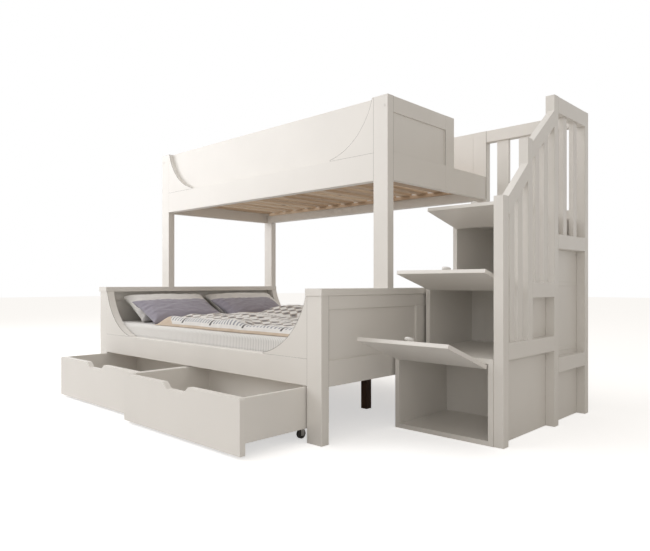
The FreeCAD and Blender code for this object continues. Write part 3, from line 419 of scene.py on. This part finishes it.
def leaf_spots(node, away_from):
    """Two places on the open face of each hinge leaf, found from the leaf's largest face."""
    mesh = nodes[node].data
    areas = {}
    for face in mesh.polygons:
        key = tuple(round(c, 2) for c in face.normal)
        areas[key] = areas.get(key, 0.0) + face.area
    normal = Vector(max((k for k in areas if abs(k[0]) < 0.1), key=areas.get)).normalized()
    flat = [v.co for v in mesh.vertices]
    middle = sum(flat, Vector()) / len(flat)
    if normal.dot(middle - away_from) < 0:
        normal.negate()
    spots = []
    level = max(normal.dot(co) for co in
                (face.center for face in mesh.polygons if face.normal.dot(normal) > 0.99))
    on_face = [face for face in mesh.polygons
               if face.normal.dot(normal) > 0.99 and normal.dot(face.center) > level - 0.3 * MM]
    for side in (-1, 1):
        leaf = [face for face in on_face if side * (face.center.x - middle.x) > 0]
        total = sum(face.area for face in leaf)
        centre = sum((face.center * face.area for face in leaf), Vector()) / total
        for shift in (-20 * MM, 20 * MM):
            spots.append((centre + Vector((shift, 0, 0)), normal))
    return spots


for i in (1, 2, 3):
    low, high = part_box("flap_%d" % i)
    add_screws("flap_%d_screws" % i, leaf_spots("flap_%d_hinges" % i, (low + high) / 2),
               2.6 * MM, "flap_body_%d" % i)
SLAT_WIDTH, SLAT_COUNT, SCREW_FROM_END, SCREW_PROUD = 69 * MM, 16, 11 * MM, 0.3 * MM
slat_spots = []
for node in ("lower_slats", "upper_slats"):
    low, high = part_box(node)
    for k in range(SLAT_COUNT):
        x = low.x + SLAT_WIDTH / 2 + k * (high.x - low.x - SLAT_WIDTH) / (SLAT_COUNT - 1)
        for y in (low.y + SCREW_FROM_END, high.y - SCREW_FROM_END):
            slat_spots.append(((x, y, high.z + SCREW_PROUD), (0, 0, 1)))
add_screws("slat_screws", slat_spots, 3.6 * MM, "bed_and_stairs")


# ---- Mattress -----------------------------------------------------------------------------------
# A foam core in an off-white knitted cover. The cover is quilted in narrow channels that run
# across the bed and down over the long sides, so the front edge shows upright ribs.
def add_object(name, mesh, material):
    """Puts a mesh into the scene at the origin, with one finish and smooth faces."""
    piece = bpy.data.objects.new(name, mesh)
    scene.collection.objects.link(piece)
    mesh.materials.clear()
    mesh.materials.append(material)
    for face in mesh.polygons:
        face.use_smooth = True
    return piece


def grid_mesh(name, points, closed_u, closed_v):
    """A mesh over a grid of points, shape (u, v, 3), wrapped round where it is closed."""
    rows, columns = points.shape[:2]
    faces = []
    for i in range(rows if closed_u else rows - 1):
        for j in range(columns if closed_v else columns - 1):
            a, b = (i + 1) % rows, (j + 1) % columns
            faces.append((i * columns + j, a * columns + j, a * columns + b, i * columns + b))
    mesh = bpy.data.meshes.new(name)
    mesh.from_pydata(points.reshape(-1, 3).tolist(), [], faces)
    return mesh


def close_and_turn_out(mesh):
    """Merges doubled points, fills open ends and points all faces outwards."""
    shape = bmesh.new()
    shape.from_mesh(mesh)
    bmesh.ops.remove_doubles(shape, verts=shape.verts, dist=1e-6)
    bmesh.ops.holes_fill(shape, edges=[e for e in shape.edges if e.is_boundary], sides=0)
    bmesh.ops.recalc_face_normals(shape, faces=shape.faces)
    shape.to_mesh(mesh)
    shape.free()


RIB_PITCH = 12.5 * MM
FIRST_RIB = 4 * MM
RIB_DEPTH = 3.2 * MM
MATTRESS_EDGE = 26 * MM
m_low, m_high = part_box("mattress")
m_top = m_high.z
ribs = int((m_high.x - m_low.x) / RIB_PITCH)
stations = np.linspace(0, 1, ribs * 5 + 1)
flat_shares = np.linspace(0, 1, 34)[1:-1]


def mattress_section(half_width, half_height, radius):
    """Points round an upright section with rounded corners."""
    points = []
    for corner, (sy, sz) in enumerate(((1, 1), (-1, 1), (-1, -1), (1, -1))):
        turns = np.linspace(0, math.pi / 2, 9)
        turns = turns if corner % 2 == 0 else turns[::-1]
        for turn in turns:
            points.append((sy * (half_width - radius + radius * math.cos(turn)),
                           sz * (half_height - radius + radius * math.sin(turn))))
        if corner in (0, 2):
            a = points[-1]
            b = (-a[0], a[1])
            points += [(a[0] + (b[0] - a[0]) * t, a[1]) for t in flat_shares]
    return np.array(points)


half_w = (m_high.y - m_low.y) / 2 - RIB_DEPTH
half_h = (m_high.z - m_low.z) / 2 - 0.5 * RIB_DEPTH
centre_y = (m_high.y + m_low.y) / 2
centre_z = (m_high.z + m_low.z) / 2
rings = []
for share in stations:
    x = m_low.x + FIRST_RIB + share * (m_high.x - m_low.x - 2 * FIRST_RIB)
    from_end = min(share, 1 - share) * (m_high.x - m_low.x)
    shrink = 0.0
    if from_end < MATTRESS_EDGE:
        shrink = MATTRESS_EDGE - math.sqrt(MATTRESS_EDGE ** 2 - (MATTRESS_EDGE - from_end) ** 2)
    section = mattress_section(half_w - shrink, half_h - shrink, MATTRESS_EDGE)
    rib = abs(math.sin(math.pi * share * ribs)) ** 0.6
    side = np.clip((np.abs(section[:, 0]) - (half_w - 1.6 * MATTRESS_EDGE)) / MATTRESS_EDGE, 0, 1)
    swell = RIB_DEPTH * rib * (0.35 + 0.65 * side) * (section[:, 1] > -half_h + MATTRESS_EDGE)
    out_y = np.sign(section[:, 0]) * side
    out_z = np.sign(section[:, 1]) * (1 - 0.8 * side)
    ring = np.empty((len(section), 3))
    ring[:, 0] = x
    ring[:, 1] = centre_y + section[:, 0] + out_y * swell
    ring[:, 2] = centre_z + section[:, 1] + 0.5 * out_z * swell
    rings.append(ring)
mattress_mesh = grid_mesh("mattress_cover", np.array(rings), False, True)
close_and_turn_out(mattress_mesh)


def knit(name, colour, thread, roughness=0.85, depth=0.0003):
    """Fine woven or knitted cloth: crossed threads with a little fuzz and uneven tone."""
    material, tree, shader, place = new_material(name, roughness)
    shader.inputs["Sheen Weight"].default_value = 0.25
    shader.inputs["Sheen Roughness"].default_value = 0.5
    height = None
    for axis in ("X", "Y"):
        wave = tree.nodes.new("ShaderNodeTexWave")
        wave.bands_direction = axis
        wave.inputs["Scale"].default_value = thread
        wave.inputs["Distortion"].default_value = 1.2
        wave.inputs["Detail"].default_value = 2.0
        tree.links.new(place, wave.inputs["Vector"])
        if height is None:
            height = wave.outputs["Fac"]
        else:
            cross = tree.nodes.new("ShaderNodeMath")
            cross.operation = "MULTIPLY"
            tree.links.new(height, cross.inputs[0])
            tree.links.new(wave.outputs["Fac"], cross.inputs[1])
            height = cross.outputs[0]
    tone = cloud(tree, place, 9.0, 4.0)
    tree.links.new(ramp(tree, tone, [(0.3, tuple(c * 0.93 for c in colour)), (0.7, colour)]),
                   shader.inputs["Base Color"])
    bump(tree, shader, height, depth, 0.6)
    return material, tree, shader, place


# The channels between the ribs are painted darker with CHANNEL_SHADE: painted shade in the creases of
# the quilting.
COVER_WHITE, CHANNEL_SHADE = (0.80, 0.79, 0.77), (0.36, 0.355, 0.345)
cover_knit, tree, shader, place = knit("mattress_knit", COVER_WHITE, 160.0)
shift_x = stretch(tree, place, (1 / RIB_PITCH, 1.0, 1.0))
shift_x.node.inputs["Location"].default_value = (-(m_low.x + FIRST_RIB) / RIB_PITCH, 0, 0)
split = tree.nodes.new("ShaderNodeSeparateXYZ")
tree.links.new(shift_x, split.inputs[0])
phase = tree.nodes.new("ShaderNodeMath")
phase.operation = "PINGPONG"
phase.inputs[1].default_value = 0.5
tree.links.new(split.outputs["X"], phase.inputs[0])
tree.links.new(ramp(tree, phase.outputs[0], [(0.0, CHANNEL_SHADE), (0.20, COVER_WHITE)]),
               shader.inputs["Base Color"])
mattress_piece = add_object("mattress_knitted_cover", mattress_mesh, cover_knit)
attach(mattress_piece, "bed_and_stairs")
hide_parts("mattress")


# ---- Pillows ---------------------------------------------------------------------------------------
# Two white pillows lie against the headboard, and two thinner lavender-grey ones lean on
# them. Each is a flat sewn case of cotton blown up by its filling, with a folded corner seam.
def cloth_swell(mesh, pressure, frames, cap, stiffness, bending):
    """Blows a closed cloth form up with Blender's cloth, no point moving further than cap."""
    body = bpy.data.objects.new("swelling", mesh)
    scene.collection.objects.link(body)
    cloth = body.modifiers.new("cloth", "CLOTH")
    cloth.settings.quality = 4
    cloth.settings.use_pressure = True
    cloth.settings.uniform_pressure_force = pressure
    cloth.settings.tension_stiffness = stiffness
    cloth.settings.compression_stiffness = stiffness
    cloth.settings.bending_stiffness = bending
    cloth.settings.effector_weights.gravity = 0.0
    cloth.point_cache.frame_start = 1
    cloth.point_cache.frame_end = frames
    for number in range(1, frames + 1):
        scene.frame_set(number)
    solved = body.evaluated_get(bpy.context.evaluated_depsgraph_get()).to_mesh()
    after = np.empty(len(solved.vertices) * 3)
    solved.vertices.foreach_get("co", after)
    before = np.empty(len(mesh.vertices) * 3)
    mesh.vertices.foreach_get("co", before)
    move = (after - before).reshape(-1, 3)
    far = np.linalg.norm(move, axis=1, keepdims=True)
    move *= np.minimum(1.0, cap / np.maximum(far, 1e-9))
    mesh.vertices.foreach_set("co", before + move.ravel())
    bpy.data.objects.remove(body)
    scene.frame_set(1)


def remeshed(mesh, voxel):
    """The same form as even quads."""
    body = bpy.data.objects.new("remeshing", mesh)
    scene.collection.objects.link(body)
    change = body.modifiers.new("voxels", "REMESH")
    change.mode = "VOXEL"
    change.voxel_size = voxel
    even = bpy.data.meshes.new_from_object(body.evaluated_get(bpy.context.evaluated_depsgraph_get()))
    bpy.data.objects.remove(body)
    return even


def pillow_start(width, depth, thick, seed):
    """A sewn pillow before it swells: thin edges, pointed corners and a soft uneven middle."""
    across, along = 65, 41
    draw = random.Random(seed)
    shift = Vector((draw.uniform(0, 50), draw.uniform(0, 50), 0))
    faces = []
    for side in (1, -1):
        sheet = np.empty((across, along, 3))
        for i, u in enumerate(np.linspace(-1, 1, across)):
            for j, v in enumerate(np.linspace(-1, 1, along)):
                belly = ((1 - u * u) * (1 - v * v)) ** 0.42
                pull_u = 1 - 0.035 * (1 - abs(v) ** 3) * abs(u) ** 6
                pull_v = 1 - 0.075 * (1 - abs(u) ** 3) * abs(v) ** 6
                lump = noise.noise(Vector((2.2 * u, 1.7 * v, 3.0 * side)) + shift)
                ridge = 1 - abs(noise.noise(Vector((3.1 * u, 6.5 * v + 1.5 * u, 9.0 * side)) + shift))
                gather = math.sin(24 * v + 5 * lump) * abs(u) ** 5
                wrinkle = (7.0 * ridge ** 5 - 3.5 + 3.0 * gather) * MM * min(1.0, 3 * belly)
                sheet[i, j] = (v * pull_v * depth / 2, u * pull_u * width / 2,
                               side * (2.5 * MM + thick / 2 * belly * (1 + 0.12 * lump) + wrinkle))
        faces.append(sheet)
    ring = np.concatenate([faces[0], faces[1][:, ::-1]], axis=1)
    mesh = grid_mesh("pillow_start", ring, False, True)
    close_and_turn_out(mesh)
    return mesh


def make_pillows(name, node, size, tilt, gap, cotton, seeds):
    """A side-by-side pair that fills the room of one CAD node, laid back by its tilt."""
    width, depth, thick = size
    low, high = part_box(node)
    for k, seed in enumerate(seeds):
        mesh = pillow_start(width, depth, thick * 0.88, seed)
        mesh = remeshed(mesh, 8 * MM)
        cloth_swell(mesh, 4.0, 18, 12 * MM, 6.0, 0.06)
        middle = Vector(((low.x + high.x) / 2, low.y + width / 2 + k * (width + gap),
                         (low.z + high.z) / 2))
        mesh.transform(Matrix.Translation(middle) @ Matrix.Rotation(math.radians(tilt), 4, "Y"))
        piece = add_object("%s_%d" % (name, k + 1), mesh, cotton)
        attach(piece, "bed_and_stairs")
        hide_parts(node)


white_cotton = knit("white_cotton", (0.78, 0.765, 0.745), 210.0)[0]
lavender_cotton = knit("lavender_cotton", (0.31, 0.29, 0.345), 210.0)[0]
make_pillows("pillow_white", "pillows", (0.65, 0.33, 0.11), 30.0, 0.012, white_cotton,
             (3, 8))
make_pillows("pillow_lavender", "cushions", (0.58, 0.33, 0.078), 24.0, 0.04, lavender_cotton,
             (5, 11))


# ---- Duvet -----------------------------------------------------------------------------------------
# A filled quilt over the foot end of the mattress. Its printed face has rows of dark lozenges
# on taupe between white bands, and a white border along the front; its back is plain beige
# and shows where the front left corner curls up and along the lower half of the front edge.
d_low, d_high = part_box("duvet")
COLUMNS, ROWS = 260, 220
CURL = 170 * MM
EDGE_HEIGHT = 60 * MM


def smooth(value, low, high):
    """0 below low, 1 above high, and an even S between them."""
    t = min(max((value - low) / (high - low), 0.0), 1.0)
    return t * t * (3 - 2 * t)


def duvet_top(x, y):
    """Height of the quilt above the mattress, x from the pillows and y from the front edge."""
    edge_line = 0.16 + 0.10 * math.sin(2.1 * y + 0.4)
    second = 50 * MM * smooth(y, 0.50, 0.66) * smooth(x, edge_line, edge_line + 0.14)
    curl_length = CURL - 70 * MM * smooth(y, 0.05, 0.4)
    curl = math.sin(min(x / curl_length, 1.0) * math.pi / 2)
    wander = noise.noise(Vector((1.3 * x, 1.9 * y, 4.0)))
    folds = math.sin(2 * math.pi * (y / 0.19 + 0.8 * wander + 0.16 * x))
    cross = math.sin(2 * math.pi * (x / 0.33 - 0.9 * y + 0.5 * wander))
    small = noise.noise(Vector((5.0 * x, 9.0 * y, 1.0)))
    sag = smooth(x, 0.72, 0.86) * (1 - smooth(y, 0.05, 0.35))
    crease = abs(noise.noise(Vector((2.6 * x, 7.0 * y, 8.0)))) ** 0.7
    return (EDGE_HEIGHT * curl + second - 16 * MM * sag - 9 * MM * crease
            + (5.5 * folds + 4.5 * cross + 7 * small + 9 * wander) * MM * min(1.0, 6 * x + 0.1))


def duvet_mesh():
    """Points of the printed face, rolled down along the sides, and their cloth coordinates."""
    length, width = d_high.x - d_low.x, d_high.y - d_low.y
    even = [k / (ROWS - 1) for k in range(ROWS)]
    across = [0.65 * t + 0.35 * (0.5 - 0.5 * math.cos(math.pi * t)) for t in even]
    top, cloth_uv = [], []
    for i in range(COLUMNS):
        u = i / (COLUMNS - 1)
        line, run, last = [], 0.0, None
        wave = 5 * MM * math.sin(9 * u) + 4 * MM * noise.noise(Vector((14 * u, 2, 2)))
        for j, v in enumerate(across):
            height = duvet_top(u * length, v * width)
            side = min(v, 1 - v) * width
            roll = 34 * MM
            drop = 0.0
            if side < roll:
                drop = 1 - math.sqrt(max(0.0, 1 - (1 - side / roll) ** 2))
            point = Vector((d_low.x + u * length, d_low.y + v * width + wave * (1 - v),
                            m_top + max(height * (1 - 0.88 * drop), 3 * MM)))
            if last is not None:
                run += (point - last).length
            last = point
            line.append(point)
            cloth_uv.append((u * length, run))
        top.append(line)
    return top, cloth_uv


top, cloth_uv = duvet_mesh()
verts = [tuple(p) for line in top for p in line]
under = [(p.x, p.y, m_top + 0.6 * MM) for line in top for p in line]
faces = []
for i in range(COLUMNS - 1):
    for j in range(ROWS - 1):
        a = i * ROWS + j
        faces.append((a, a + ROWS, a + ROWS + 1, a + 1))
n = len(verts)
rim = ([i * ROWS for i in range(COLUMNS)]
       + [(COLUMNS - 1) * ROWS + j for j in range(1, ROWS)]
       + [i * ROWS + ROWS - 1 for i in range(COLUMNS - 2, -1, -1)]
       + [j for j in range(ROWS - 2, 0, -1)])
floor_index = {index: n + k for k, index in enumerate(rim)}
verts += [under[index] for index in rim]
for k, index in enumerate(rim):
    after = rim[(k + 1) % len(rim)]
    faces.append((index, floor_index[index], floor_index[after], after))
faces.append(tuple(floor_index[index] for index in rim))
duvet_shape = bpy.data.meshes.new("duvet_quilt")
duvet_shape.from_pydata(verts, [], faces)
close = bmesh.new()
close.from_mesh(duvet_shape)
bmesh.ops.recalc_face_normals(close, faces=close.faces)
close.to_mesh(duvet_shape)
close.free()
print_uv = duvet_shape.uv_layers.new(name="print")
for loop in duvet_shape.loops:
    k = loop.vertex_index
    if k >= n:
        k = rim[k - n]
    print_uv.data[loop.index].uv = cloth_uv[k]


def value(tree, operation, *inputs):
    """One Math node; an input is a socket or a number."""
    node = tree.nodes.new("ShaderNodeMath")
    node.operation = operation
    for socket, source in zip(node.inputs, inputs):
        if isinstance(source, (int, float)):
            socket.default_value = source
        else:
            tree.links.new(source, socket)
    return node.outputs[0]


def over(tree, mask, below, above):
    """One colour laid over another where the mask is 1; a colour is a socket or a value."""
    node = tree.nodes.new("ShaderNodeMix")
    node.data_type = "RGBA"
    tree.links.new(mask, node.inputs["Factor"])
    for socket, colour in ((node.inputs[6], below), (node.inputs[7], above)):
        if isinstance(colour, tuple):
            socket.default_value = (*colour, 1.0)
        else:
            tree.links.new(colour, socket)
    return node.outputs[2]


printed, tree, shader, place = knit("printed_cotton", (0.5, 0.5, 0.5), 210.0)
uv = tree.nodes.new("ShaderNodeUVMap")
uv.uv_map = "print"
axes = tree.nodes.new("ShaderNodeSeparateXYZ")
tree.links.new(uv.outputs["UV"], axes.inputs[0])
wobble = value(tree, "MULTIPLY", value(tree, "SUBTRACT", cloud(tree, place, 14.0), 0.5), 0.012)
along = value(tree, "ADD", axes.outputs["X"], wobble)
across = value(tree, "ADD", axes.outputs["Y"], wobble)
BAND, LOZENGE_WIDE, LOZENGE_DEEP = 0.235, 0.072, 0.052
band = value(tree, "FRACT", value(tree, "DIVIDE", value(tree, "SUBTRACT", across, 0.085), BAND))
in_band = value(tree, "LESS_THAN", band, 0.70)
du = value(tree, "ABSOLUTE", value(tree, "SUBTRACT", value(
    tree, "FRACT", value(tree, "DIVIDE", along, LOZENGE_WIDE)), 0.5))
past_border = value(tree, "SUBTRACT", across, 0.085)
dv = value(tree, "ABSOLUTE", value(tree, "SUBTRACT", value(
    tree, "FRACT", value(tree, "DIVIDE", past_border, LOZENGE_DEEP)), 0.5))
reach = value(tree, "ADD", du, dv)
lozenge = value(tree, "LESS_THAN", reach, 0.30)
rim_line = value(tree, "GREATER_THAN", reach, 0.52)
taupe = ramp(tree, cloud(tree, place, 60.0), [(0.3, (0.30, 0.255, 0.22)), (0.7, (0.41, 0.355, 0.31))])
white = ramp(tree, cloud(tree, place, 25.0), [(0.3, (0.70, 0.685, 0.665)), (0.7, (0.79, 0.775, 0.755))])
charcoal = ramp(tree, cloud(tree, place, 90.0),
                [(0.3, (0.075, 0.072, 0.075)), (0.7, (0.17, 0.16, 0.16))])
field = over(tree, rim_line, taupe, white)
field = over(tree, lozenge, field, charcoal)
stripe = value(tree, "LESS_THAN", value(tree, "ABSOLUTE", value(tree, "SUBTRACT", band, 0.85)), 0.025)
dash = value(tree, "LESS_THAN", value(tree, "FRACT", value(tree, "DIVIDE", along, 0.030)), 0.62)
plain = over(tree, value(tree, "MULTIPLY", stripe, dash), white, (0.30, 0.28, 0.27))
body_print = over(tree, in_band, plain, field)
tick = value(tree, "LESS_THAN", value(tree, "FRACT", value(tree, "DIVIDE", along, 0.026)), 0.45)
tick_row = value(tree, "LESS_THAN", value(tree, "ABSOLUTE", value(
    tree, "SUBTRACT", axes.outputs["Y"], 0.048)), 0.017)
border = over(tree, value(tree, "MULTIPLY", tick, tick_row), white, (0.30, 0.31, 0.34))
mark = value(tree, "LESS_THAN", value(tree, "FRACT", value(tree, "DIVIDE", along, 0.285)), 0.055)
mark_row = value(tree, "LESS_THAN", value(tree, "ABSOLUTE", value(
    tree, "SUBTRACT", axes.outputs["Y"], 0.046)), 0.026)
border = over(tree, value(tree, "MULTIPLY", mark, mark_row), border, (0.09, 0.085, 0.085))
face_print = over(tree, value(tree, "LESS_THAN", axes.outputs["Y"], 0.085), body_print, border)
beige = ramp(tree, cloud(tree, place, 30.0), [(0.3, (0.56, 0.45, 0.345)), (0.7, (0.64, 0.53, 0.42))])
slant = value(tree, "ADD", axes.outputs["X"], value(tree, "MULTIPLY", axes.outputs["Y"], 0.9))
corner = value(tree, "LESS_THAN", slant, 0.20)
hem = value(tree, "LESS_THAN", axes.outputs["Y"], 0.010)
second_end = value(tree, "MULTIPLY", value(tree, "GREATER_THAN", axes.outputs["Y"], 0.60),
                   value(tree, "LESS_THAN", along, 0.30))
back = value(tree, "MAXIMUM", value(tree, "MAXIMUM", corner, hem), second_end)
tree.links.new(over(tree, back, face_print, beige), shader.inputs["Base Color"])
duvet_piece = add_object("duvet_quilt", duvet_shape, printed)
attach(duvet_piece, "bed_and_stairs")
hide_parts("duvet")


# ---- Floor, light and camera -----------------------------------------------------------------------
# A plain white studio: soft key light from the front left, weak fill, white backdrop.
floor_mesh = bpy.data.meshes.new("floor")
floor_mesh.from_pydata([(-30, -30, 0), (30, -30, 0), (30, 30, 0), (-30, 30, 0)], [], [(0, 1, 2, 3)])
floor_paint = bpy.data.materials.new("studio_floor")
floor_paint.use_nodes = True
tree = floor_paint.node_tree
tree.nodes.clear()
out = tree.nodes.new("ShaderNodeOutputMaterial")
matt = tree.nodes.new("ShaderNodeBsdfDiffuse")
matt.inputs["Color"].default_value = (0.82, 0.82, 0.82, 1)
both = tree.nodes.new("ShaderNodeAddShader")
path = tree.nodes.new("ShaderNodeLightPath")
glows = []
for colour, strength in (((1.0, 0.90, 0.79, 1), 0.02), ((1.0, 1.0, 1.0, 1), 0.55)):
    glow = tree.nodes.new("ShaderNodeEmission")
    glow.inputs["Color"].default_value = colour
    glow.inputs["Strength"].default_value = strength
    glows.append(glow)
seen = tree.nodes.new("ShaderNodeMixShader")
tree.links.new(path.outputs["Is Camera Ray"], seen.inputs[0])
tree.links.new(glows[0].outputs[0], seen.inputs[1])
tree.links.new(glows[1].outputs[0], seen.inputs[2])
tree.links.new(matt.outputs[0], both.inputs[0])
tree.links.new(seen.outputs[0], both.inputs[1])
tree.links.new(both.outputs[0], out.inputs["Surface"])
floor = bpy.data.objects.new("floor", floor_mesh)
floor_mesh.materials.append(floor_paint)
scene.collection.objects.link(floor)
floor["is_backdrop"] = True

world = bpy.data.worlds.new("studio")
world.use_nodes = True
scene.world = world
tree = world.node_tree
tree.nodes.clear()
out = tree.nodes.new("ShaderNodeOutputWorld")
room = tree.nodes.new("ShaderNodeBackground")
room.inputs["Color"].default_value = (1.0, 0.935, 0.855, 1)
room.inputs["Strength"].default_value = 0.50
white = tree.nodes.new("ShaderNodeBackground")
white.inputs["Color"].default_value = (1.0, 1.0, 1.0, 1)
white.inputs["Strength"].default_value = 1.0
path = tree.nodes.new("ShaderNodeLightPath")
direct = tree.nodes.new("ShaderNodeMath")
direct.operation = "MAXIMUM"
pick = tree.nodes.new("ShaderNodeMixShader")
tree.links.new(path.outputs["Is Camera Ray"], direct.inputs[0])
tree.links.new(path.outputs["Is Glossy Ray"], direct.inputs[1])
tree.links.new(direct.outputs[0], pick.inputs[0])
tree.links.new(room.outputs[0], pick.inputs[1])
tree.links.new(white.outputs[0], pick.inputs[2])
tree.links.new(pick.outputs[0], out.inputs["Surface"])


def area_light(name, spot, target, size, power, spread):
    """A square soft light that faces a point; spread in degrees."""
    lamp = bpy.data.lights.new(name, "AREA")
    lamp.shape = "SQUARE"
    lamp.size = size
    lamp.energy = power
    lamp.spread = math.radians(spread)
    lamp.color = (0.975, 0.98, 1.0)
    holder = bpy.data.objects.new(name, lamp)
    holder.location = spot
    holder.rotation_euler = (Vector(target) - Vector(spot)).to_track_quat("-Z", "Y").to_euler()
    scene.collection.objects.link(holder)


area_light("key", (-6.0, -3.6, 2.6), (-0.5, 0.2, 1.0), 3.0, 104, 180)
area_light("front", (-3.2, -4.4, 3.3), (-0.7, 0.0, 1.5), 2.6, 63, 180)
area_light("top", (-0.5, -1.0, 5.0), (-0.3, 0.0, 0.5), 3.0, 56, 180)
area_light("foot_end_fill", (2.3, -2.7, 1.6), (0.75, -0.1, 0.5), 1.6, 2.4, 90)

camera = bpy.data.cameras.new("camera")
camera.sensor_width = 36.0
camera.lens = 32.58
camera.shift_y = 0.0127
camera_holder = bpy.data.objects.new("camera", camera)
camera_holder.location = (2.5075, -2.3895, 0.704)
camera_holder.rotation_euler = (math.radians(90), 0, math.radians(43.617))
scene.collection.objects.link(camera_holder)
scene.camera = camera_holder
scene.view_settings.view_transform = "Standard"

low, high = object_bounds()
